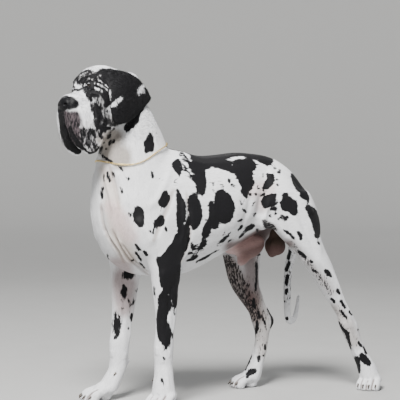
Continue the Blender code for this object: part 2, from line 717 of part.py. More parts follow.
HEAD_CUT = (Vector((-0.553, 0, 0.868)), Vector((-0.713, 0, 0.701)))
NECK_CUT = (Vector((-0.255, 0, 0.862)), Vector((-0.385, 0, 0.923)))
CARPUS_CUT = 0.170
STIFLE_CUT = 0.400
CANNON_CUT = 0.135
TAIL_CUT = 0.430
FORELEG_SPAN = {"left": (-0.47, -0.22), "right": (-0.60, -0.26)}
THIGH_SPAN = {"left": (0.000, 0.60), "right": (-0.060, 0.60)}
THIGH_TOP = {"left": 0.515, "right": 0.490}
THIGH_CLIMB = 0.50


def turned_half(cut, side_of=1, grow=0.0):
    point, normal = cut
    return half_space(point, normal * side_of, grow=grow)


def leg_region(x0, x1, side, inner, outer, climb=0.0):
    """An upright box with a sloping top. inner and outer are (out, height) points of that top.

    climb is how much the top rises per metre from x0 back to x1.
    """
    rise = (outer[1] - inner[1]) / (outer[0] - inner[0])

    def region(grow):
        box = block((0, 0, 0), (1, 1, 1))
        lift = grow * math.sqrt(1 + rise ** 2 + climb ** 2)
        for vert in box.data.vertices:
            x = x1 + grow if vert.co.x > 0 else x0 - grow
            out = outer[0] + grow if vert.co.y > 0 else inner[0] - grow
            top = inner[1] + rise * (out - inner[0]) + climb * (x - x0) + lift
            vert.co = (x, side * out, top if vert.co.z > 0 else FLOOR_BELOW)
        return faced_out(box)
    return region


def below(z, x0, x1, side):
    """A box under a level cut through one leg."""
    return leg_region(x0, x1, side, (-0.02, z), (0.30, z))


def build_trunk():
    """The neck, torso and legs, parted from one body."""
    whole = whole_body()
    drop(part_off(whole, "waste", lambda grow: turned_half(HEAD_CUT, grow=grow)))
    for name, side in SIDES.items():
        region = leg_region(*FORELEG_SPAN[name], side, (0.050, 0.424), (0.170, 0.492))
        leg = part_off(whole, "foreleg_" + name, region)
        drop(part_off(leg, "waste", below(CARPUS_CUT, -0.70, -0.20, side)))
        top = THIGH_TOP[name]
        region = leg_region(*THIGH_SPAN[name], side, (0.004, top), (0.165, top + 0.105), THIGH_CLIMB)
        thigh = part_off(whole, "thigh_" + name, region)
        hock = part_off(thigh, "hock_" + name, below(STIFLE_CUT, -0.10, 0.60, side))
        drop(part_off(hock, "waste", below(CANNON_CUT, -0.10, 0.60, side)))
    part_off(whole, "neck", lambda grow: turned_half(NECK_CUT, grow=grow))


def build_paws():
    """Each paw with the end of its leg, flat under the pads, and its claws in sockets."""
    for name, side in SIDES.items():
        for kind, places, shape, line, depth, cut, spacing, scale in (
                ("fore", FORE_PAW, FORELEG, FORELEG_LINE, FORE_DEPTH, CARPUS_CUT, FORE_TOES, 1.0),
                ("hind", HIND_PAW, HINDLEG, HINDLEG_LINE, HIND_DEPTH, CANNON_CUT, HIND_TOES,
                 HIND_SCALE)):
            place, turn, flat = places[name]
            foot = kind + "paw_" + name
            pieces = paw_pieces(side, place, turn, spacing, scale, flat)
            pieces.append(limb(side, leg_rows(shape, line[name], depth[name], cut + 0.07), "shank"))
            if kind == "fore":
                pieces.append(carpal_pad(side, line[name]))
            paw = fuse(foot, pieces, PAW_VOXEL, 3, PAW_TRIANGLES)
            boolean(paw, half_space((0, 0, 0), (0, 0, -1)))
            boolean(paw, half_space((0, 0, cut), (0, 0, 1)))
            for toe in range(4):
                nail = claw(side, place, turn, spacing, scale, flat, toe)
                set_claw(nail, paw, "claw_%s_%s_%d" % (kind, name, toe + 1))
            if kind == "fore":
                set_claw(dewclaw(side, line[name]), paw, "dewclaw_" + name)


def set_claw(nail, paw, name):
    """Moves a claw into the model and cuts its socket."""
    made = copy_of(nail, name)
    keep_largest(made)
    boolean(paw, inflated(made, GAP * 1.3))
    drop(nail)


def line_at(line, z):
    heights = sorted(line)
    return [np.interp(z, heights, [line[h][k] for h in heights]) for k in range(3)]


def carpal_pad(side, line):
    """The small bare pad behind the wrist."""
    x, out, turn = line_at(line, 0.135)
    t = math.radians(turn)
    behind = Vector((math.cos(t), -side * math.sin(t), 0))
    spot = Vector((x, side * out, 0.130)) + behind * 0.032
    return lump(spot, (0.011, 0.010, 0.014))


def dewclaw(side, line):
    """The claw of the short inner toe, above the paw."""
    x, out, turn = line_at(line, 0.092)
    t = math.radians(turn)
    ahead = Vector((-math.cos(t), side * math.sin(t), 0))
    inward = Vector((-math.sin(t), -side * math.cos(t), 0))
    root = Vector((x, side * out, 0.094)) + inward * 0.030 + ahead * 0.006
    return hooked_claw(root, (ahead + inward * 0.35).normalized(), 0.016, Vector((0, 0, 1)).cross(ahead))


def build_head():
    """Skull, lips, jaw, nose, eyes with lids, and ears."""
    head = fuse("head", head_pieces() + [neck()], HEAD_VOXEL, 6, HEAD_TRIANGLES)
    uncut = copy_of(head, "uncut_head", CUTTERS)
    boolean(head, turned_half(HEAD_CUT, -1))
    jaw = fuse("lower_jaw", jaw_pieces(), HEAD_VOXEL, 3, JAW_TRIANGLES)
    make_room(head, jaw)
    nose = fuse("nose", nose_pieces(), NOSE_VOXEL, 3, NOSE_TRIANGLES)
    make_room(head, nose)
    for side in SIDES.values():
        for hole in nostril(side):
            boolean(nose, hole)
    boolean(head, philtrum())
    for name, side in SIDES.items():
        s, y, z = EYE_AT
        spot = at_head(s, side * y, z)
        boolean(head, ball(spot, EYE_RADIUS + LID), "UNION")
        socket = boolean(ball(spot, EYE_RADIUS + GAP), lid_opening(side), "UNION")
        boolean(head, socket)
        keep_largest(copy_of(ball(spot, EYE_RADIUS), "eye_" + name))
    neck_piece = bpy.data.objects["neck"]
    for name, side in SIDES.items():
        ear = fuse("ear_" + name, ear_leaf(side), EAR_VOXEL, 3, EAR_TRIANGLES)
        make_room(ear, uncut, "MANIFOLD")       # the exact solver keeps the wrong side here
        make_room(ear, neck_piece)


def ball(spot, radius):
    up = Vector((0, 0, radius))
    return muscle(spot - up, spot + up, radius, radius, sides=EYE_SIDES)


def lid_opening(side):
    """An almond between the lids, looking forward and a little outward."""
    s, y, z = EYE_AT
    out = math.radians(EYE_LOOK)
    ahead = Vector((math.cos(out), side * math.sin(out), -0.10)).normalized()
    along = Vector((-math.sin(out), side * math.cos(out), -0.18)).normalized()
    middle = Vector((s, side * y, z)) + ahead * EYE_RADIUS
    a, b = middle - along * 0.0105, middle + along * 0.0105
    return on_head(head_muscle(a, b, 0.0090, 0.0058, (0, 0, 1), sides=16))[0]


def philtrum():
    """The groove from the nose down between the lips."""
    return on_head(head_muscle((0.188, 0, -0.030), (0.192, 0, -0.098), 0.0110, 0.0020, sides=8))[0]


RUMP = ("torso", "thigh_left", "thigh_right")


def build_tail():
    tail = tail_tube()
    tail.name = "tail_base"
    for neighbour in RUMP:
        make_room(tail, bpy.data.objects[neighbour])
    part_off(tail, "tail_tip", lambda grow: half_space((0.285, 0.15, TAIL_CUT), (0, 0, -1), grow=grow))


def build_groin():
    """The sheath under the belly and the scrotum behind it."""
    sheath = fuse("sheath", [muscle((0.095, 0, 0.545), (-0.015, 0, 0.490), 0.040, 0.030),
                             muscle((-0.080, 0, 0.522), (0.040, 0, 0.522), 0.030, 0.017),
                             muscle((0.040, 0, 0.520), (-0.008, 0, 0.452), 0.022, 0.020)],
                  SMALL_VOXEL, 4, 360)
    scrotum = fuse("scrotum", [lump((0.142, side * 0.017, 0.518), (0.034, 0.021, 0.034))
                               for side in SIDES.values()]
                   + [lump((0.128, 0, 0.500), (0.018, 0.018, 0.026)),
                      muscle((0.150, 0, 0.590), (0.150, 0, 0.520), 0.030, 0.024)],
                   SMALL_VOXEL, 4, 360)
    make_room(scrotum, sheath)
    for piece in (sheath, scrotum):
        for neighbour in RUMP:
            make_room(piece, bpy.data.objects[neighbour])


# Finishes: colour, roughness, metallic

COAT = ((0.80, 0.79, 0.77, 1), 0.70, 0.0)
DARK_COAT = ((0.03, 0.03, 0.032, 1), 0.60, 0.0)
FINISHES = {"nose": ((0.10, 0.10, 0.12, 1), 0.45, 0.0), "eye": ((0.06, 0.035, 0.02, 1), 0.08, 0.0),
            "claw": ((0.62, 0.50, 0.42, 1), 0.40, 0.0), "dewclaw": ((0.62, 0.50, 0.42, 1), 0.40, 0.0),
            "ear": DARK_COAT, "lower_jaw": DARK_COAT, "sheath": ((0.62, 0.45, 0.43, 1), 0.60, 0.0),
            "scrotum": ((0.20, 0.16, 0.12, 1), 0.55, 0.0),
            "chain_collar": ((0.80, 0.58, 0.20, 1), 0.30, 1.0)}


def finish(piece):
    colour, roughness, metallic = COAT
    for start, look in FINISHES.items():
        if piece.name.startswith(start):
            colour, roughness, metallic = look
    material = bpy.data.materials.new(piece.name + "_finish")
    material.use_nodes = True
    shader = material.node_tree.nodes["Principled BSDF"]
    shader.inputs["Base Color"].default_value = colour
    shader.inputs["Roughness"].default_value = roughness
    shader.inputs["Metallic"].default_value = metallic
    material.diffuse_color = colour
    piece.data.materials.clear()
    piece.data.materials.append(material)
    piece.data.shade_smooth()
    piece.data.set_sharp_from_angle(angle=math.radians(50))


def stand_at_origin():
    """Puts the middle of the model's box, at floor level, at the origin."""
    corners = []
    for piece in DOG.objects:
        points = np.empty(len(piece.data.vertices) * 3)
        piece.data.vertices.foreach_get("co", points)
        corners.append(points.reshape(-1, 3))
    points = np.vstack(corners)
    low, high = points.min(axis=0), points.max(axis=0)
    shift = Matrix.Translation((-(low[0] + high[0]) / 2, -(low[1] + high[1]) / 2, 0))
    for piece in DOG.objects:
        piece.data.transform(shift)


build_trunk()
build_paws()
build_head()
build_tail()
build_groin()
collar(bpy.data.objects["neck"], (-0.540, 0, 0.834), (-0.307, 0, 0.888))
for made in list(CUTTERS.objects):
    drop(made)
for made in DOG.objects:
    finish(made)
stand_at_origin()
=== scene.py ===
import math

import bmesh
import bpy
import numpy as np
from mathutils import Matrix, Quaternion, Vector
from mathutils.bvhtree import BVHTree


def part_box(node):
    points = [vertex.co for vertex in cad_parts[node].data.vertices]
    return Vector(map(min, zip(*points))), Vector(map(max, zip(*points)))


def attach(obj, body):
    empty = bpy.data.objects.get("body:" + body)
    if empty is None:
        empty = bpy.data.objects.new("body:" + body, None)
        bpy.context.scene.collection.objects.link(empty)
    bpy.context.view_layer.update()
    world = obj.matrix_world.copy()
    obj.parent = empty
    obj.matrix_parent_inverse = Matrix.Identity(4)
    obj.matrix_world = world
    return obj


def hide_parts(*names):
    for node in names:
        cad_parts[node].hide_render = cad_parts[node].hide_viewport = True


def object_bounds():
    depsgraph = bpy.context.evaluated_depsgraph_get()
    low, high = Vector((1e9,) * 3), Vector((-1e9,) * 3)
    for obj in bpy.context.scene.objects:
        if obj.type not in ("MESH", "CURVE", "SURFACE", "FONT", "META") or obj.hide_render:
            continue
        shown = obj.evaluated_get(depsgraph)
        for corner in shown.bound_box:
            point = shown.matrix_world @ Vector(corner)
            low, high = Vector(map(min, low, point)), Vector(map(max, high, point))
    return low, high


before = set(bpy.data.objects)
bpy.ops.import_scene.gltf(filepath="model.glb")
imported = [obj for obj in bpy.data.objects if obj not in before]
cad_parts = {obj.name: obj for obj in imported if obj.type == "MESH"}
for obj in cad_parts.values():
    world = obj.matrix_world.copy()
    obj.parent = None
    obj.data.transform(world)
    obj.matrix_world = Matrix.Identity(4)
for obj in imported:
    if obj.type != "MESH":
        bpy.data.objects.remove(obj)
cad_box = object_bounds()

# The dog faces -X and its left side, which the camera sees, is -Y. Metres unless a name says mm.
CAMERA_AT = Vector((-2.7328, -5.0029, 0.970))
CAMERA_TURN = math.radians(28.0)
CAMERA_DIP = math.radians(2.817)
CAMERA_LENS = 147.06
HEAD_AT = Vector((-0.4218, 0.0211, 1.054))
HEAD_TURN, HEAD_NOD, HEAD_LEAN = (math.radians(a) for a in (14.0, -7.5, -5.0))
HEAD = (Matrix.Translation(HEAD_AT) @ Matrix.Rotation(HEAD_TURN, 4, "Z")
        @ Matrix.Rotation(HEAD_NOD, 4, "Y") @ Matrix.Rotation(HEAD_LEAN, 4, "X"))
EYE_AT = (0.0835, 0.0365, 0.0400)       # in the head: forward, out to the side, up
EYE_RADIUS = 0.0125
MIDDLE = 0.0211                         # the trunk's middle plane, in y
MIDDLE_MM = 1000 * MIDDLE
SKIN_STEP = 0.0030
SKIN_FACES = 190000
SIDES = ("left", "right")
MERGE_REACH = 1e-5
CLOSE_CUTS = 0.0006                     # how far each flesh node grows, so that they all touch
FLESH = ["head", "lower_jaw", "nose", "neck", "torso", "sheath", "scrotum", "tail_base", "tail_tip"]
FLESH += [part + "_" + side for side in SIDES
          for part in ("ear", "foreleg", "forepaw", "thigh", "hock", "hindpaw")]
CLAWS = [f"claw_{end}_{side}_{toe}" for end in ("fore", "hind") for side in SIDES for toe in (1, 2, 3, 4)]
CLAWS += ["dewclaw_left", "dewclaw_right"]


def set_camera():
    aim = Vector((math.sin(CAMERA_TURN) * math.cos(CAMERA_DIP),
                  math.cos(CAMERA_TURN) * math.cos(CAMERA_DIP), -math.sin(CAMERA_DIP)))
    right = Vector((math.cos(CAMERA_TURN), -math.sin(CAMERA_TURN), 0.0))
    place = Matrix((right, right.cross(aim), -aim)).transposed().to_4x4()
    place.translation = CAMERA_AT
    camera = bpy.data.objects.new("camera", bpy.data.cameras.new("camera"))
    bpy.context.collection.objects.link(camera)
    camera.matrix_world = place
    camera.data.sensor_width = 36.0
    camera.data.lens = CAMERA_LENS
    camera.data.clip_end = 60.0
    bpy.context.scene.camera = camera


set_camera()


# Folds as (width, lift, path) in mm, grooves with a negative lift. The face's paths are given in the
# head (forward, out to the side, up) and pressed on both sides; the trunk's are repeated across it.
FACE_FOLDS = [
    (3.2, 1.6, [(104, 26, 32), (93, 21, 48), (92, 39, 59), (86, 54, 54), (80, 59, 41)]),
    (3, -1.4, [(87, 22, 63), (88, 43, 66), (79, 58, 60), (71, 62, 45)]), (2.6, 2.2, [(83, 58, 41),
    (66, 67, 33), (51, 75, 16), (47, 78, 7)]), (2.2, -2, [(78, 58, 46), (67, 65, 41), (57, 70, 28),
    (48, 76, 14)]), (2.4, 2, [(74, 60, 55), (57, 68, 39), (45, 75, 22), (51, 89, 6), (50, 82, -20)]),
    (2.4, -2, [(87, 60, 33), (69, 68, 23), (57, 77, 10)]), (2.6, -2.4, [(106, 35, 28), (105, 48, 22),
    (96, 58, 21), (85, 65, 16)]), (3, 1.6, [(110, 47, 14), (100, 56, 11), (88, 66, 6), (79, 74, -2)]),
    (3, -2.2, [(111, 41, 22), (113, 51, 4), (110, 54, -13), (113, 57, -33)]), (3.4, 2.2, [(116, 52, -9),
    (113, 57, -33), (116, 63, -60), (123, 64, -89)]), (3.6, -3, [(107, 56, -20), (105, 61, -44),
    (109, 65, -71), (117, 64, -100)]), (3.4, 2, [(71, 77, -37), (79, 74, -62), (84, 69, -85),
    (94, 66, -106)]), (3, -2.4, [(84, 73, -28), (86, 70, -54), (91, 66, -80), (103, 65, -102)]),
    (3, 1.8, [(90, 25, 56), (84, 4, 70), (78, 23, 77), (66, 41, 78)]), (2.6, -1.8, [(93, 9, 51),
    (86, 13, 64), (83, 44, 70), (66, 54, 69)]), (3, 1.6, [(57, 54, 71), (51, 64, 56), (42, 76, 40)]),
    (4, -2, [(162, 63, -97), (155, 64, -125), (138, 62, -150)]), (4, -2.2, [(119, 64, -110),
    (124, 63, -136), (122, 60, -162)]), (2.6, 1.6, [(188, 1, -38), (189, 1, -68), (180, 4, -99),
    (182, 18, -131), (172, 30, -156), (163, 41, -165), (142, 49, -179)]), (4, -1.6, [(189, 28, -57),
    (188, 32, -98), (181, 42, -129), (165, 53, -152)]), (4, 2.5, [(85, 65, -128), (97, 62, -149),
    (108, 57, -167)]), (3.6, -2.6, [(70, 61, -133), (51, 16, -159), (44, 12, -182)]),
]
TRUNK_FOLDS = [
    (7, 4, [(-444, -20, 801), (-443, -34, 751), (-439, -57, 702), (-437, -67, 656)]),
    (8, -7, [(-432, -35, 808), (-427, -52, 758), (-424, -71, 712), (-422, -83, 676)]),
    (9, 4, [(-415, -53, 808), (-405, -71, 759), (-399, -89, 713), (-397, -100, 670)]),
    (6, 3, [(-443, -2, 841), (-431, -32, 822), (-418, -52, 802)]), (6, -6, [(-452, -20, 610),
    (-434, -37, 570), (-409, -46, 530), (-381, -33, 490)]), (5, -7, [(-433, -59, 602), (-415, -60, 558),
    (-376, -56, 506), (-321, -42, 465), (-273, -5, 439)]), (4.5, 3.5, [(-426, -67, 595), (-404, -66, 548),
    (-363, -58, 498), (-297, -31, 453)]), (4.5, -5.5, [(-408, -68, 558), (-369, -64, 509),
    (-297, -39, 457)]), (5, 3, [(-444, -36, 601), (-427, -45, 560), (-394, -46, 512), (-349, -38, 473)]),
    (9, -4, [(-458, -18, 684), (-455, -20, 634), (-441, -29, 580)]), (7, -6, [(-188, -121, 713),
    (-181, -129, 652), (-176, -125, 587), (-183, -118, 533), (-213, -128, 491)]),
    (9, 4, [(-205, -120, 713), (-200, -128, 653), (-200, -125, 588), (-217, -127, 535)]),
    (12, 3.5, [(-221, -78, 813), (-257, -102, 760), (-297, -115, 705), (-342, -117, 662)]),
    (10, -4, [(-236, -113, 734), (-260, -123, 674), (-292, -127, 615), (-318, -134, 569)]),
    (14, 4, [(-370, -112, 650), (-347, -127, 603), (-313, -133, 549)]), (10, 0.7, [(-111, -100, 765),
    (-133, -127, 681), (-140, -127, 590)]), (10, 0.9, [(-63, -98, 764), (-86, -127, 677),
    (-97, -119, 567)]), (10, 0.7, [(-18, -101, 756), (-38, -124, 675), (-52, -114, 572)]),
    (10, 0.6, [(30, -100, 748), (12, -118, 674), (-3, -110, 591)]), (12, -3, [(89, -81, 774),
    (73, -102, 706), (50, -107, 638), (24, -98, 583)]), (9, 5, [(154, -11, 573), (134, -86, 613),
    (147, -91, 662), (152, -97, 704)]), (16, -5, [(101, -89, 628), (114, -93, 677), (124, -90, 718)]),
    (14, 4.5, [(161, -67, 787), (178, -79, 776)]), (12, 4, [(294, -119, 667), (310, -120, 638)]),
    (9, -4, [(243, -121, 668), (268, -128, 601), (302, -133, 530), (339, -134, 469)]),
    (12, 3, [(290, -125, 632), (318, -127, 557), (349, -132, 489)]), (10, -3, [(171, -106, 669),
    (193, -110, 613), (230, -111, 549)]),
]
LEG_FOLDS = [
    (11, 4, [(280, -108, 483), (300, -110, 458)]), (7, -4, [(327, -133, 469), (379, -131, 392),
    (433, -126, 314)]), (5, 3.5, [(380, -128, 452), (423, -122, 379), (468, -115, 294),
    (502, -112, 244)]), (6, -4, [(415, -127, 330), (450, -126, 278), (470, -128, 234)]),
    (7, 3, [(444, -122, 249), (459, -126, 223)]), (6, 2.5, [(493, -119, 246), (509, -115, 219)]),
    (4.5, -3, [(474, -128, 219), (500, -129, 171), (522, -134, 130)]), (5, 2.5, [(463, -119, 197),
    (489, -119, 149), (509, -128, 112)]), (7, -4, [(-246, -139, 439), (-257, -132, 372),
    (-263, -122, 297), (-265, -118, 236)]), (12, 4, [(-285, -135, 474), (-286, -130, 420),
    (-285, -120, 365)]), (10, 5, [(-223, -133, 492), (-218, -129, 457)]), (5, 3, [(-230, -131, 414),
    (-232, -120, 329), (-235, -111, 233)]), (7, 3, [(-290, -100, 208), (-291, -102, 174)]),
    (6, 2.5, [(-255, -120, 195), (-251, -120, 167)]), (6, -2.5, [(-276, -117, 155), (-277, -118, 128)]),
    (4.5, 2.5, [(-286, -108, 134), (-294, -108, 94), (-303, -112, 61)]), (4.5, 2.5, [(-267, -121, 135),
    (-264, -130, 95), (-261, -139, 62)]), (12, 3.5, [(-337, 107, 443), (-341, 108, 388),
    (-341, 107, 339)]), (7, -3.5, [(-310, 91, 415), (-317, 93, 346), (-325, 94, 270), (-334, 92, 208)]),
    (5, 3, [(-281, 97, 344), (-292, 99, 267), (-299, 100, 187)]), (7, 3, [(-359, 111, 173),
    (-358, 113, 144)]), (6, 2.5, [(-319, 91, 165), (-318, 93, 137)]), (5, 2.5, [(-359, 103, 111),
    (-380, 99, 71), (-412, 87, 48)]), (9, -4, [(142, 97, 437), (167, 98, 375), (197, 99, 319)]),
    (7, 3, [(121, 119, 393), (160, 114, 327), (200, 119, 266)]), (5, 3.5, [(230, 113, 370),
    (250, 112, 304), (280, 105, 248)]), (6, -4.5, [(209, 99, 318), (234, 99, 266), (250, 97, 221)]),
    (7, 3, [(211, 115, 236), (222, 113, 207)]), (4.5, -3, [(235, 100, 193), (227, 100, 142),
    (212, 95, 93)]), (5, 2.5, [(224, 116, 184), (217, 112, 134), (200, 105, 85)]),
]


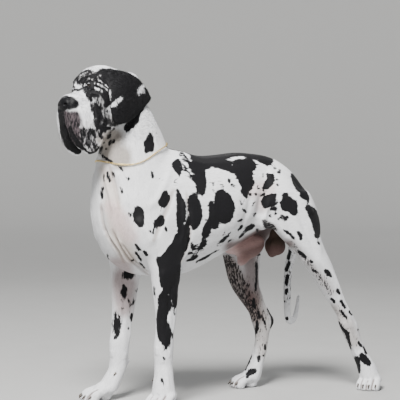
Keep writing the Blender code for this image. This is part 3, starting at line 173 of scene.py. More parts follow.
# Black patches and flecks, as chains of (x, y, z, radius) in mm on the skin.
DARK_SPOTS = {
    "neck": [
        [(-291, -56, 927, 2.7), (-296, -61, 908, 10.8), (-302, -66, 888, 17.2), (-302, -68, 878, 15.5)],
        [(-315, -72, 866, 7.4)], [(-293, -69, 868, 6.1)], [(-339, -57, 989, 5), (-345, -55, 972, 11.7),
        (-363, -53, 955, 14.1), (-376, -50, 942, 11.1), (-378, -50, 932, 5)], [(-440, -28, 795, 3.3),
        (-436, -42, 765, 3.7)], [(-455, -12, 724, 4), (-454, -24, 708, 3.3)], [(-447, -19, 781, 2.7),
        (-447, -23, 765, 2.7)], [(-302, -89, 798, 2.7), (-303, -96, 776, 3.4)], [(-275, -97, 772, 3.4),
        (-270, -99, 768, 2)], [(-390, -75, 781, 3.3), (-383, -81, 768, 4.3)], [(-408, -57, 814, 3.3),
        (-401, -63, 804, 3.7)], [(-452, -18, 743, 2.7), (-452, -21, 731, 3.4)], [(-454, -22, 708, 4)],
        [(-410, -70, 745, 2.3), (-408, -79, 726, 3)], [(-428, -45, 792, 2.7), (-426, -50, 777, 2.7)],
        [(-492, -70, 878, 4.3), (-439, 20, 875, 6.1)], [(-439, 42, 859, 2.7), (-441, -5, 845, 3),
        (-432, -27, 833, 4), (-426, -37, 828, 3)], [(-433, -64, 939, 3), (-434, -39, 920, 4.3),
        (-439, -34, 909, 3)], [(-427, -19, 887, 2.7), (-425, -23, 898, 2.7)], [(-417, -29, 890, 2.7),
        (-416, -29, 900, 2.7)], [(-445, -15, 892, 3)], [(-470, -69, 929, 5)], [(-433, -9, 871, 2.4)],
        [(-462, -67, 941, 6.6), (-447, -67, 942, 5)],
    ],
    "shoulder": [
        [(-365, -110, 671, 12), (-364, -113, 656, 18.6), (-365, -116, 640, 18), (-359, -121, 623, 10.6)],
        [(-266, -114, 722, 10.1), (-266, -118, 707, 15.4), (-275, -120, 694, 16.7), (-273, -121, 684, 8)],
        [(-286, -124, 641, 10), (-289, -125, 630, 15.4), (-306, -126, 627, 8.3), (-291, -126, 618, 6.7)],
        [(-312, -130, 614, 3.7), (-304, -130, 610, 3.3)], [(-269, -125, 606, 4), (-266, -126, 597, 3)],
        [(-193, -63, 829, 8.8), (-201, -74, 816, 17), (-200, -84, 805, 14.2), (-203, -92, 790, 7.4),
        (-201, -97, 780, 3.4)], [(-156, 17, 865, 2.8), (-169, -36, 849, 3.1), (-168, -60, 831, 2)],
        [(-112, 14, 853, 3.8), (-128, -35, 842, 3.1), (-131, -51, 832, 2.1)], [(-149, -55, 832, 2.7),
        (-144, -68, 817, 4.8), (-154, -80, 806, 3.1)], [(-164, -92, 787, 2.7), (-159, -98, 776, 4.4)],
        [(-211, -14, 884, 3.1), (-180, 10, 869, 4.8), (-158, 14, 865, 5.9), (-140, 10, 860, 4.1)],
        [(-217, -114, 733, 5.1), (-217, -119, 713, 8.4), (-211, -125, 686, 14.1), (-212, -127, 660, 16.5),
        (-214, -128, 633, 15.1), (-216, -127, 612, 10.1), (-218, -126, 602, 6.1)],
        [(-182, -129, 652, 2.7), (-187, -129, 625, 7.4), (-197, -126, 595, 16.2)],
        [(-197, -126, 595, 18.2), (-207, -124, 568, 27), (-216, -126, 545, 29), (-237, -134, 523, 31.6),
        (-260, -139, 494, 36.2), (-262, -141, 460, 36.8), (-261, -139, 430, 34.8)],
        [(-296, -131, 503, 10), (-291, -133, 484, 11.4)], [(-331, -131, 600, 3.3),
        (-321, -133, 593, 3.3)], [(-222, -102, 767, 2.7), (-221, -108, 753, 4)], [(-393, -102, 658, 2.7),
        (-390, -104, 650, 2.7)], [(-343, -113, 530, 5), (-335, -113, 520, 6.3)], [(-360, -84, 525, 3),
        (-339, -75, 500, 3.7)], [(-362, -58, 497, 3.4)],
    ],
    "foreleg": [
        [(-255, -137, 406, 28.2), (-243, -131, 374, 18.2), (-234, -123, 346, 10.1)],
        [(-280, -129, 389, 8.4), (-277, -126, 369, 20.1), (-272, -125, 345, 21.8),
        (-277, -117, 317, 19.5), (-278, -113, 290, 19.5), (-273, -115, 263, 23.6),
        (-269, -117, 236, 21.9), (-262, -119, 215, 12.1)], [(-273, -118, 196, 4)],
        [(-275, -118, 170, 3.4), (-271, -119, 163, 3.4)], [(-284, -120, 98, 3.4), (-282, -129, 79, 3.7)],
        [(-301, -101, 408, 2.7), (-298, -98, 377, 2.7)], [(-238, -122, 326, 2.7), (-235, -120, 315, 3.4)],
        [(-245, -117, 251, 3.4), (-239, -113, 237, 2.7)],
    ],
    "ribs": [
        [(-164, -121, 712, 13.5), (-164, -125, 692, 20.3), (-160, -128, 668, 23.7), (-157, -130, 645, 22),
        (-161, -130, 624, 18.6), (-162, -128, 607, 10.1)], [(-120, -66, 815, 20.5),
        (-122, -86, 792, 21.5), (-127, -102, 765, 21.8), (-127, -112, 742, 17), (-127, -117, 725, 10.2),
        (-129, -120, 715, 4.7)], [(-55, -119, 711, 19.8), (-49, -123, 693, 31.7), (-45, -125, 669, 37.5),
        (-45, -127, 648, 30.7), (-45, -126, 629, 15.7)], [(-98, -126, 687, 7.8), (-92, -129, 660, 12.9),
        (-88, -130, 629, 17), (-84, -128, 612, 14.3)], [(-114, -128, 607, 10.9), (-115, -126, 592, 15.3),
        (-119, -124, 579, 11.9)], [(-120, -117, 558, 9.5), (-121, -113, 546, 10.5),
        (-129, -110, 536, 7.1)], [(-167, -116, 549, 3.7), (-161, -112, 539, 6.8), (-158, -109, 531, 4.4)],
        [(-168, -85, 489, 3.4), (-150, -88, 496, 6.8), (-133, -92, 504, 4.1)], [(-111, -76, 490, 4.1),
        (-91, -78, 498, 5.8), (-77, -82, 508, 3.4)], [(-130, -104, 526, 4.4), (-118, -104, 528, 2.7)],
        [(-171, -106, 516, 4.7), (-156, -102, 517, 3.4)], [(-126, -72, 481, 3.4), (-121, -76, 487, 3.4)],
        [(-57, -102, 544, 2.7), (-47, -104, 553, 4.8), (-32, -107, 564, 6.5), (-21, -107, 571, 4.8)],
        [(-16, -92, 549, 3.1), (9, -89, 559, 3.1)], [(-73, -82, 509, 2.7), (-43, -83, 524, 2.8)],
        [(-63, -99, 538, 2.4), (-38, -95, 543, 2.4)], [(24, -100, 588, 2.8), (32, -101, 596, 5.2),
        (38, -101, 603, 3.5)], [(46, -71, 559, 3.5), (50, -76, 568, 6.6), (55, -80, 578, 3.5)],
        [(69, -81, 589, 9.7), (82, -79, 595, 11.1), (92, -80, 600, 7.7)], [(19, -113, 622, 4.5),
        (35, -109, 625, 3.1)], [(118, -65, 588, 3.5), (147, -19, 574, 3.2)], [(89, -95, 639, 3.8),
        (98, -93, 644, 3.1)], [(86, -101, 683, 2.8), (79, -103, 676, 3.5)], [(23, -115, 687, 4.1),
        (29, -114, 680, 2.8)], [(71, -102, 710, 4.5)], [(89, -98, 709, 3.5), (96, -97, 711, 2.8)],
        [(-50, -117, 582, 2.7), (-39, -116, 584, 2.1)], [(-8, -109, 585, 3.4)], [(-114, -128, 672, 3.7),
        (-111, -129, 665, 3.1)], [(-119, -130, 628, 4.1), (-107, -130, 626, 4.4)], [(-48, -106, 748, 3.8),
        (-43, -109, 741, 4.4)], [(-14, -95, 766, 4.1), (-11, -100, 757, 4.8)], [(-4, -105, 746, 4.8),
        (2, -106, 740, 3.4)], [(-83, -114, 730, 3.1)], [(166, -80, 770, 12.2), (159, -85, 756, 14),
        (144, -87, 739, 11.5), (131, -88, 730, 5.6)], [(157, -74, 776, 5.6)], [(-57, -94, 770, 3.4),
        (-44, -99, 760, 4.8)], [(-80, -100, 761, 4.1), (-76, -107, 747, 3.4)], [(108, -89, 740, 3.5),
        (111, -92, 726, 3.1)], [(34, -114, 663, 3.1), (49, -109, 652, 3.1)],
    ],
    "back": [
        [(-116, -38, 837, 7.6), (-97, -39, 831, 18.9), (-82, -54, 819, 21.6), (-50, -37, 827, 18.3),
        (-36, -48, 821, 18.3), (-14, -52, 819, 20), (5, -61, 811, 19), (20, -69, 803, 19),
        (53, -60, 813, 24.3)], [(-109, 10, 852, 4.2), (-109, -24, 843, 8.3), (-46, 12, 843, 13.9),
        (4, 10, 846, 14), (51, 9, 851, 10.5), (108, 2, 850, 10.6), (153, -11, 842, 11.3),
        (191, -16, 833, 10.6), (201, -20, 828, 8.5)], [(53, -60, 813, 24.3), (88, -55, 815, 24.4),
        (97, -60, 808, 18.5)], [(52, -69, 802, 27.7), (54, -79, 785, 28.4), (59, -91, 761, 25.9),
        (60, -97, 743, 21.4), (45, -105, 724, 13.8), (52, -106, 707, 6.9), (54, -107, 700, 3.5)],
        [(147, -36, 827, 9.1), (171, -36, 823, 12.7), (191, -30, 824, 10.6), (174, -45, 813, 7)],
        [(87, -84, 768, 3.5), (92, -90, 747, 3.5)],
    ],
    "rump": [
        [(169, -104, 708, 5.2), (158, -100, 697, 14.6), (139, -92, 687, 17.1), (136, -90, 673, 11.1),
        (155, -99, 678, 11.8), (171, -106, 680, 5.2)], [(158, -97, 659, 5.6), (168, -104, 660, 7.3)],
        [(204, -112, 705, 9.8), (210, -115, 686, 19.2), (224, -119, 669, 24.5), (234, -122, 650, 14.7)],
        [(188, -112, 680, 5.2), (198, -115, 665, 10.5), (205, -117, 657, 8.4)], [(190, -111, 631, 5.9),
        (202, -115, 625, 7.7), (209, -118, 630, 5.2)], [(202, -72, 785, 5.6), (214, -60, 792, 3.5)],
        [(184, -90, 761, 3.5)], [(183, -98, 742, 3.8)], [(195, -56, 799, 4.2)], [(137, -74, 775, 3.1)],
        [(156, -89, 634, 4.2)], [(171, -102, 643, 3.1)], [(119, -92, 706, 4.2), (132, -90, 711, 4.5)],
        [(182, -105, 622, 3.5)], [(271, -57, 771, 10.6), (274, -71, 750, 17.7), (285, -79, 729, 19.8),
        (282, -112, 709, 16.9), (296, -112, 695, 9.8)], [(293, -121, 660, 10.5), (313, -118, 642, 19),
        (329, -116, 616, 20.5), (335, -118, 588, 17.6), (329, -123, 564, 12)], [(250, -127, 574, 5.6),
        (258, -128, 564, 7.7), (260, -127, 552, 5.6)], [(328, -128, 538, 3.5), (335, -127, 532, 3.5)],
        [(263, -109, 506, 4.9), (276, -116, 496, 6.7), (285, -117, 486, 4.2)], [(202, -108, 583, 2.8),
        (216, -113, 574, 4.9), (226, -117, 567, 3.5)], [(227, -115, 561, 2.8), (237, -118, 554, 3.5)],
        [(294, -120, 478, 3.2), (307, -126, 470, 4.2)], [(316, -115, 440, 3.5), (328, -122, 433, 4.6)],
    ],
    "hind_leg": [
        [(360, -134, 436, 6.4), (373, -133, 425, 8.5), (382, -132, 416, 4.2)], [(414, -128, 364, 5.3),
        (421, -127, 352, 3.6)], [(393, -119, 335, 3.6), (403, -120, 324, 5)], [(428, -127, 325, 3.2),
        (446, -125, 302, 5)], [(431, -122, 289, 4.6), (447, -125, 270, 4.6), (454, -126, 261, 2.9)],
        [(468, -120, 283, 3.2), (480, -119, 270, 3.2)], [(437, -101, 247, 3.9), (444, -110, 226, 4.3),
        (458, -120, 208, 8.2), (466, -116, 189, 5.7), (477, -111, 166, 3.9), (487, -103, 147, 2.5)],
        [(510, -115, 215, 4.7)], [(502, -129, 171, 3.6), (515, -128, 159, 4.3)], [(526, -126, 152, 3.6),
        (536, -130, 132, 4.3)], [(503, -118, 111, 10.8), (512, -107, 88, 11.5), (521, -101, 61, 6.5)],
        [(511, -132, 127, 7.2), (523, -137, 111, 12.9), (537, -141, 98, 10.4)],
    ],
    "small_marks": [
        [(-417, 19, 512, 3.4), (-402, 44, 496, 3.4)],
        [(-336, -64, 488, 3), (-315, -52, 469, 3.4)],
        [(-367, -99, 552, 4.7), (-357, -101, 538, 6)],
        [(-208, -13, 880, 4.1), (-157, 12, 864, 6.2)],
        [(-154, -21, 855, 4.8), (-152, -47, 839, 5.5), (-152, -62, 826, 4.1)],
        [(-119, -37, 838, 6.9), (-136, -69, 815, 6.8), (-150, -87, 795, 4.1)],
        [(-173, -73, 816, 3.1), (-170, -88, 796, 3.4)],
    ],
    "far_legs": [
        [(-323, 95, 398, 2.8), (-319, 93, 384, 9), (-321, 94, 371, 10.4), (-317, 93, 357, 5.2)],
        [(-303, 92, 342, 3.1), (-294, 94, 327, 4.2)], [(-283, 96, 346, 3.1), (-283, 97, 333, 3.1)],
        [(-270, 99, 378, 5.2)], [(-346, 110, 297, 4.5)], [(-291, 97, 292, 6.9), (-287, 102, 277, 7)],
        [(-351, 122, 270, 3.5), (-351, 125, 261, 3.5)], [(-343, 101, 242, 3.1), (-341, 97, 229, 4.2),
        (-351, 103, 215, 5.5)], [(-303, 95, 246, 3.1)], [(-324, 95, 317, 3.1)], [(217, 107, 237, 3.6),
        (221, 112, 211, 5.4), (223, 122, 195, 3.6)], [(234, 98, 259, 2.9), (246, 97, 229, 3.6)],
        [(262, 110, 282, 3.6), (278, 109, 259, 4.7), (283, 104, 237, 4.4), (279, 107, 214, 4.7)],
        [(201, 99, 322, 3.6), (200, 101, 304, 6.1), (205, 103, 289, 4.3)], [(210, 97, 456, 4.3),
        (216, 105, 405, 4.3), (208, 100, 355, 3.6)], [(245, 97, 152, 3.6), (246, 96, 138, 3.6)],
        [(219, 96, 110, 6.2), (217, 93, 96, 4)], [(206, 128, 105, 2.9)], [(238, 93, 115, 2.9)],
        [(96, 138, 476, 4.3)], [(219, 101, 274, 2.9), (227, 100, 252, 2.9)], [(179, 104, 49, 7.2),
        (190, 101, 57, 10.1), (200, 93, 61, 9)], [(169, 92, 41, 4)],
    ],
    "tail": [
        [(372, 141, 483, 9.6), (372, 142, 461, 5.9)], [(376, 145, 442, 5.2), (373, 159, 415, 6.6)],
        [(378, 158, 393, 5.9), (374, 163, 363, 5.9)], [(377, 161, 341, 5.5), (375, 164, 326, 3.7)],
        [(389, 161, 310, 3.7)], [(373, 167, 299, 3.7)], [(380, 166, 234, 5.9)],
    ],
    "head": [
        [(-523, -24, 1073, 3.3), (-526, -38, 1065, 3.6)], [(-518, -48, 1064, 4), (-507, -56, 1061, 4.6)],
        [(-532, 26, 1070, 4), (-537, -9, 1066, 4)], [(-552, -83, 946, 2.6), (-549, -84, 939, 3)],
        [(-524, -78, 956, 2.3), (-521, -79, 946, 3)], [(-560, -82, 936, 3), (-557, -83, 923, 3.3)],
        [(-523, 30, 1102, 4.7), (-522, 15, 1089, 4), (-517, -5, 1093, 5.3)], [(-525, -32, 1068, 3.3),
        (-523, -52, 1053, 4.3)], [(-505, -36, 1114, 5), (-490, -44, 1118, 5.6)], [(-501, -52, 1086, 3.3),
        (-486, -57, 1080, 4), (-470, -63, 1070, 4.3)], [(-525, -80, 939, 4.3), (-514, -78, 932, 4.6)],
        [(-486, -73, 922, 3.3), (-478, -70, 909, 3.3)], [(-464, -34, 1131, 8.7), (-435, -35, 1133, 9.3),
        (-403, -30, 1131, 9.4), (-379, -41, 1123, 10), (-355, -46, 1109, 8.7)], [(-598, -17, 962, 7.3),
        (-591, -21, 936, 12.6), (-580, -20, 909, 17.2), (-564, -15, 886, 19.2), (-541, -8, 869, 14.6)],
        [(-464, -58, 1088, 6.6), (-460, -64, 1068, 8.6), (-470, -70, 1048, 7.9)], [(-522, -25, 1075, 2.7),
        (-524, -45, 1061, 3.6)], [(-598, -18, 1040, 5.3), (-589, -38, 1041, 5.9), (-581, -53, 1038, 4.6)],
        [(-504, -64, 1008, 5), (-498, -67, 995, 7.3), (-496, -71, 975, 7.9), (-499, -73, 952, 6.6)],
        [(-459, -48, 1115, 8.6), (-453, -58, 1095, 11.3), (-451, -74, 1068, 11.9),
        (-452, -71, 1041, 11.3), (-460, -73, 1022, 7.9)], [(-478, -40, 1121, 5.3), (-471, -48, 1111, 6),
        (-463, -55, 1098, 5.3)], [(-521, 18, 1095, 6), (-516, 5, 1105, 5.3), (-509, -13, 1110, 4)],
        [(-604, -5, 1008, 6.6), (-603, -11, 988, 7.9), (-600, -13, 969, 7.9)], [(-585, -53, 942, 5.3),
        (-576, -58, 916, 7.2), (-562, -65, 890, 8.6), (-542, -70, 873, 5.3)], [(-514, -55, 1051, 5.3),
        (-501, -60, 1050, 6), (-490, -66, 1048, 4.6)], [(-502, -69, 992, 5.3), (-502, -72, 965, 5.3)],
        [(-552, -84, 933, 3), (-547, -84, 919, 3.6)], [(-534, -84, 923, 3.3), (-531, -83, 906, 3.3)],
        [(-514, -78, 926, 4.3), (-506, -77, 913, 4)], [(-541, -82, 893, 3.6), (-529, -81, 883, 3.9)],
        [(-514, -79, 893, 3.3), (-505, -75, 880, 4.3)], [(-558, -81, 913, 3), (-551, -81, 900, 3.3)],
        [(-497, -74, 936, 4.6), (-482, -71, 939, 5), (-470, -69, 934, 3.6)], [(-499, -70, 870, 5.3),
        (-441, 35, 859, 4.7)], [(-520, -46, 1064, 4), (-519, -54, 1051, 7.3), (-513, -58, 1035, 5)],
        [(-514, -60, 1021, 2.6), (-512, -65, 1008, 3.3), (-513, -68, 998, 2.6)], [(-497, -65, 1018, 5.9),
        (-490, -66, 1002, 10.9), (-486, -69, 982, 10.9), (-490, -71, 962, 9.3), (-493, -73, 946, 6.6)],
        [(-476, -69, 1053, 5), (-463, -71, 1045, 9.9), (-459, -72, 1032, 8.3), (-464, -72, 1015, 5)],
        [(-466, -74, 972, 4), (-466, -70, 955, 6.3), (-472, -69, 942, 6)], [(-505, -55, 1074, 5),
        (-504, -58, 1061, 6.6), (-492, -62, 1059, 5), (-482, -66, 1058, 4.6)], [(-490, -52, 1094, 3),
        (-477, -55, 1091, 3.3), (-465, -59, 1080, 3)], [(-493, -56, 1080, 2.6), (-476, -60, 1074, 3.6),
        (-461, -66, 1063, 3.3)], [(-495, -39, 1119, 5), (-490, -51, 1108, 6.6), (-486, -52, 1098, 4)],
        [(-469, -30, 1133, 4), (-460, -41, 1125, 8), (-453, -50, 1111, 13.3), (-451, -61, 1095, 8.6)],
        [(-445, -41, 1125, 13.3), (-427, -50, 1115, 13.3)], [(-537, 38, 1064, 3.3), (-532, 42, 1082, 3.4),
        (-526, 39, 1103, 4), (-516, 42, 1114, 5), (-509, 32, 1124, 5.4), (-503, 9, 1131, 4),
        (-494, -11, 1134, 3.3)], [(-541, 3, 1064, 2.7), (-534, -12, 1067, 3.3), (-525, -15, 1075, 3.3)],
        [(-518, 8, 1099, 4.7), (-518, -8, 1088, 6.3), (-512, -12, 1102, 4.7)], [(-521, -16, 1078, 3.7)],
        [(-512, -4, 1108, 3), (-509, -28, 1112, 3), (-502, -45, 1110, 3)], [(-506, -6, 1122, 2.3),
        (-492, -23, 1129, 2.3)], [(-513, -25, 1090, 5), (-510, -39, 1097, 4.3), (-503, -49, 1091, 5.3),
        (-505, -54, 1079, 6), (-515, -46, 1074, 5.3), (-517, -29, 1080, 4.3)], [(-601, -11, 975, 4),
        (-598, -8, 949, 6.6), (-593, -8, 926, 9.9), (-583, -14, 903, 13.2), (-568, -13, 883, 16.6),
        (-544, -9, 869, 13.3)], [(-598, -25, 995, 2), (-596, -25, 969, 2.3), (-590, -23, 942, 3),
        (-578, -23, 919, 3.3), (-562, -24, 896, 3.6), (-538, -10, 876, 3.7), (-546, -60, 871, 3.3)],
        [(-535, -70, 868, 3.3), (-518, -64, 858, 4), (-502, -67, 863, 3.3)],
    ],
}
# White flecks inside the black, cut out after it, and two chains of painted highlights on the near ear's
# black hair.
WHITE_FLECKS_AND_EAR_HIGHLIGHTS = [
    [(-190, -126, 679, 2.4), (-189, -129, 652, 3), (-196, -129, 629, 3.4), (-204, -127, 612, 2.4)],
    [(13, -39, 830, 3.8), (40, -32, 835, 7), (69, -30, 837, 7), (91, -31, 836, 4.9)],
    [(24, -47, 825, 3.5), (23, -61, 812, 3.5)], [(-274, -132, 395, 1.3), (-257, -133, 377, 1.7),
    (-247, -129, 354, 1.7), (-240, -125, 336, 2)], [(-249, -125, 320, 8.4), (-254, -123, 300, 8.8),
    # The chain from (-413, -86, 1042) and the one from (-309, -35, 1083) are painted highlights on the near
    # ear.
    (-238, -117, 278, 8.1)], [(348, -98, 635, 4.6)], [(-413, -86, 1042, 6.6), (-427, -88, 1032, 8.6),
    (-439, -90, 1022, 9.3), (-450, -90, 1015, 5.6)], [(-309, -35, 1083, 7.4), (-322, -46, 1073, 9.4),
    (-337, -57, 1061, 6), (-343, -61, 1054, 3.4)], [(-452, -7, 1148, 1), (-427, -3, 1149, 2),
    (-410, -13, 1142, 2), (-388, -5, 1137, 1.3)], [(-483, -52, 1103, 2.3), (-467, -57, 1091, 2.7),
    (-451, -61, 1076, 2.7), (-451, -77, 1061, 2.6), (-453, -83, 1035, 2.3)], [(-494, -52, 1089, 1.7),
    (-475, -58, 1084, 3), (-456, -63, 1070, 3.3), (-450, -66, 1061, 2.7)], [(-485, -51, 1109, 3.3),
    (-469, -44, 1118, 4)], [(-528, 27, 1079, 8), (-525, 17, 1082, 6.3)], [(-492, -68, 1036, 8.3),
    (-490, -70, 1028, 5.9)], [(-500, -71, 972, 4)], [(-513, -17, 1096, 1.5), (-510, -36, 1103, 1.5),
    (-501, -48, 1101, 1.5), (-491, -52, 1091, 1.7)],
]
# Where the white coat is tinted, ticked or thin, and where painted shade and a painted reflection lie on it.
ZONES = {
    "leather": [(-605, -24, 1025, 15.8), (-597, -39, 1025, 22.4), (-586, -55, 1024, 23),
        (-574, -62, 1021, 16.4)],
    "mauve": [(-598, -24, 992, 16.5), (-591, -50, 972, 26.3), (-576, -73, 982, 18),
        (-568, -79, 959, 14.8), (-585, -53, 942, 29.6), (-570, -75, 929, 19.7), (-574, -59, 910, 26.3),
        (-558, -73, 893, 16.4)],
    "speckle": [(-542, -85, 929, 16.4), (-534, -84, 903, 23), (-514, -78, 883, 19.8)],
    "speckle_b": [(-498, -75, 926, 16.5), (-478, -71, 936, 13.2)],
    "speckle_c": [(-461, -74, 969, 16.6), (-446, -73, 965, 19.9), (-428, -90, 962, 19.9)],
    "forehead_zone": [(-518, 15, 1102, 16.7), (-507, -16, 1115, 20), (-492, -47, 1114, 19.9),
        (-469, -44, 1118, 16.6)],
    "cheek_zone": [(-493, -66, 1045, 14.9), (-474, -71, 1045, 16.5), (-494, -66, 1018, 14.9),
        (-471, -73, 1018, 16.5), (-494, -68, 992, 13.2), (-468, -73, 992, 16.6), (-492, -71, 965, 16.5),
        (-471, -72, 965, 16.6), (-481, -71, 946, 13.2)],
    "ear_tip": [(-296, -38, 1046, 16.9)],
    # Bare skin of the groin, darkened further with painted shade under the belly.
    "groin": [(11, -64, 532, 24.3), (111, 6, 542, 35.3), (177, 1, 540, 39), (239, -6, 545, 32.1),
        (232, -86, 533, 17.6)],
    "sheath": [(109, 3, 482, 21.2)],
    # The far thigh's inner side: bare skin darkened with painted shade.
    "inner_thigh": [(179, 90, 458, 28.8), (196, 98, 392, 32.5), (201, 99, 319, 28.9)],
    "far_thigh": [(105, 119, 459, 32.3), (129, 110, 394, 36), (170, 110, 319, 36.1), (213, 106, 259, 29)],
    "chest_beige": [(-446, -16, 801, 20.1), (-438, -46, 735, 26.7), (-437, -67, 662, 30),
        (-418, -66, 575, 33.4), (-379, -61, 513, 30.2)],
    # Painted shade on the lower chest front, tinted pink.
    "chest_pink": [(-439, -64, 676, 26.7), (-416, -86, 630, 33.3), (-387, -95, 582, 26.7)],
    # Painted shade on the throat, under the jaw.
    "throat_painted_shade": [(-473, -69, 909, 26.5), (-434, -7, 875, 33.6), (-421, -26, 902, 40.2),
        (-418, -35, 862, 46.9), (-404, -53, 842, 40.1)],
    "thigh_tick": [(236, -108, 538, 10.5), (267, -109, 502, 12.3), (296, -116, 469, 14.1),
        (327, -121, 433, 14.1), (358, -125, 396, 17.7), (386, -126, 360, 14.2)],
    # Painted reflection on the rump: pink light thrown back from a wall.
    "rump_pink": [(93, -95, 726, 31.2), (148, -90, 732, 27.9), (123, -91, 673, 24.4)],
    "hip_grey": [(134, -87, 615, 8.7), (147, -85, 602, 14), (168, -84, 595, 12.2), (180, -84, 587, 7)],
    "far_hock_zone": [(205, 99, 318, 32.5), (234, 98, 244, 36.3), (235, 99, 171, 29), (232, 94, 128, 21.8)],
    "near_hock_zone": [(417, -105, 291, 25), (454, -126, 238, 28.5), (485, -126, 175, 25.1)],
    # Painted shade on the far forearm, pink-grey.
    "far_forearm": [(-369, 23, 465, 47.7), (-321, 94, 398, 45), (-321, 94, 318, 31.2)],
}


def at_head(forward, side, up):
    return HEAD @ Vector((-forward, side, up))


def new_object(name, mesh):
    piece = bpy.data.objects.new(name, mesh)
    bpy.context.collection.objects.link(piece)
    return piece


def get_points(mesh):
    points = np.empty(len(mesh.vertices) * 3)
    mesh.vertices.foreach_get("co", points)
    return points.reshape(-1, 3)


def put_points(mesh, points):
    mesh.vertices.foreach_set("co", points.astype(np.float32).ravel())
    mesh.update()


def get_normals(mesh):
    normals = np.empty(len(mesh.vertices) * 3, dtype=np.float32)
    mesh.vertex_normals.foreach_get("vector", normals)
    return normals.reshape(-1, 3).astype(float)


def shade_smooth(mesh):
    mesh.polygons.foreach_set("use_smooth", np.ones(len(mesh.polygons), dtype=bool))


def baked(piece):
    """Applies the piece's modifiers and gives back its new mesh."""
    graph = bpy.context.evaluated_depsgraph_get()
    mesh = bpy.data.meshes.new_from_object(piece.evaluated_get(graph), depsgraph=graph)
    piece.modifiers.clear()
    old, piece.data = piece.data, mesh
    bpy.data.meshes.remove(old)
    return mesh


def gathered(names, grow=0.0):
    """One mesh of the named nodes, each merged and grown a little, so that thin cuts close."""
    whole = bmesh.new()
    for name in names:
        part = bmesh.new()
        part.from_mesh(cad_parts[name].data)
        bmesh.ops.remove_doubles(part, verts=part.verts, dist=MERGE_REACH)
        part.normal_update()
        for vertex, place in [(v, v.co + v.normal * grow) for v in part.verts]:
            vertex.co = place
        mesh = bpy.data.meshes.new(name + "_copy")
        part.to_mesh(mesh)
        part.free()
        whole.from_mesh(mesh)
        bpy.data.meshes.remove(mesh)
    mesh = bpy.data.meshes.new("gathered")
    whole.to_mesh(mesh)
    whole.free()
    return mesh


def soft_step(value, low, high):
    """Nought at low and one at high, eased between them; low may be the larger."""
    t = np.clip((value - low) / (high - low), 0.0, 1.0)
    return t * t * (3.0 - 2.0 * t)


# The skin is remeshed while the head is swollen, which gives the face smaller faces than the trunk.
# SWELL is how much is added to every length within SWELL_FROM of the head's middle.

SWELL_FROM, SWELL_TO, SWELL = 0.20, 0.34, 1.0
true_reach = np.linspace(0.0, 2.5, 2501)
stretch = 1.0 + SWELL * np.clip((SWELL_TO - true_reach) / (SWELL_TO - SWELL_FROM), 0.0, 1.0)
swollen_reach = np.concatenate([[0.0], np.cumsum((stretch[1:] + stretch[:-1]) / 2 * np.diff(true_reach))])


def swell(points, back=False):
    offset = points - np.array(HEAD_AT)
    far = np.maximum(np.linalg.norm(offset, axis=1), 1e-9)
    new = np.interp(far, swollen_reach, true_reach) if back else np.interp(far, true_reach, swollen_reach)
    return np.array(HEAD_AT) + offset * (new / far)[:, None]


def edge_pairs(mesh):
    pairs = np.empty(len(mesh.edges) * 2, dtype=np.int64)
    mesh.edges.foreach_get("vertices", pairs)
    return pairs.reshape(-1, 2)


def relax(values, pairs, weight, rounds):
    """Moves each value part of the way to the mean of its neighbours', round after round."""
    a, b = pairs[:, 0], pairs[:, 1]
    count = len(values)
    share = 1.0 / np.maximum(np.bincount(a, minlength=count) + np.bincount(b, minlength=count), 1)
    for _ in range(rounds):
        for axis in range(values.shape[1]):
            column = values[:, axis]
            mean = (np.bincount(a, weights=column[b], minlength=count)
                    + np.bincount(b, weights=column[a], minlength=count)) * share
            values[:, axis] = column + (mean - column) * weight
    return values


def in_box(points, node, margin):
    low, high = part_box(node)
    return np.all((points > np.array(low) - margin) & (points < np.array(high) + margin), axis=1)


# How much each round wears the surface near some nodes: names, margin, highest z and wear.
TRUNK_WEAR = 0.5
ANY_HEIGHT = 9.0
WEAR = [(("head", "ear_left", "ear_right", "lower_jaw"), 0.004, ANY_HEIGHT, 0.10)]
for side in SIDES:
    WEAR += [(("foreleg_" + side, "hock_" + side), 0.002, 0.40, 0.25),
             (("forepaw_" + side, "hindpaw_" + side), 0.002, ANY_HEIGHT, 0.08)]
WEAR += [(("tail_base", "tail_tip"), 0.002, 0.70, 0.15)]
FINEST_STEP, FINEST_ROUNDS = 0.0030, 40


def fused_skin():
    """The flesh nodes as one smooth surface, with the faceted edges of the trunk worn away."""
    skin = new_object("skin", gathered(FLESH, CLOSE_CUTS))
    put_points(skin.data, swell(get_points(skin.data)))
    remesh = skin.modifiers.new("remesh", "REMESH")
    remesh.mode = "VOXEL"
    remesh.voxel_size = SKIN_STEP
    mesh = baked(skin)
    points = swell(get_points(mesh), back=True)
    pairs = edge_pairs(mesh)
    wear = np.full(len(points), TRUNK_WEAR)
    for names, margin, highest, amount in WEAR:
        for name in names:
            wear[in_box(points, name, margin) & (points[:, 2] < highest)] = amount
    wear = relax(wear[:, None].copy(), pairs, 0.5, 10)[:, 0]
    rounds = round(FINEST_ROUNDS * (FINEST_STEP / SKIN_STEP) ** 2)
    return skin, relax(points, pairs, wear, rounds), pairs


skin, points, pairs = fused_skin()
put_points(skin.data, points)


def smooth_path(path, steps=5):
    """A path's points in metres, rounded through its given places."""
    knots = np.array(path, dtype=float)
    if len(knots) < 3:
        return knots
    knots = np.vstack([2 * knots[0] - knots[1], knots, 2 * knots[-1] - knots[-2]])
    out = []
    for a, b, c, d in zip(knots, knots[1:], knots[2:], knots[3:]):
        for t in np.arange(steps) / steps:
            out.append(0.5 * ((2 * b) + (c - a) * t + (2 * a - 5 * b + 4 * c - d) * t * t
                              + (3 * b - a - 3 * c + d) * t ** 3))
    return np.array(out + [knots[-2]])


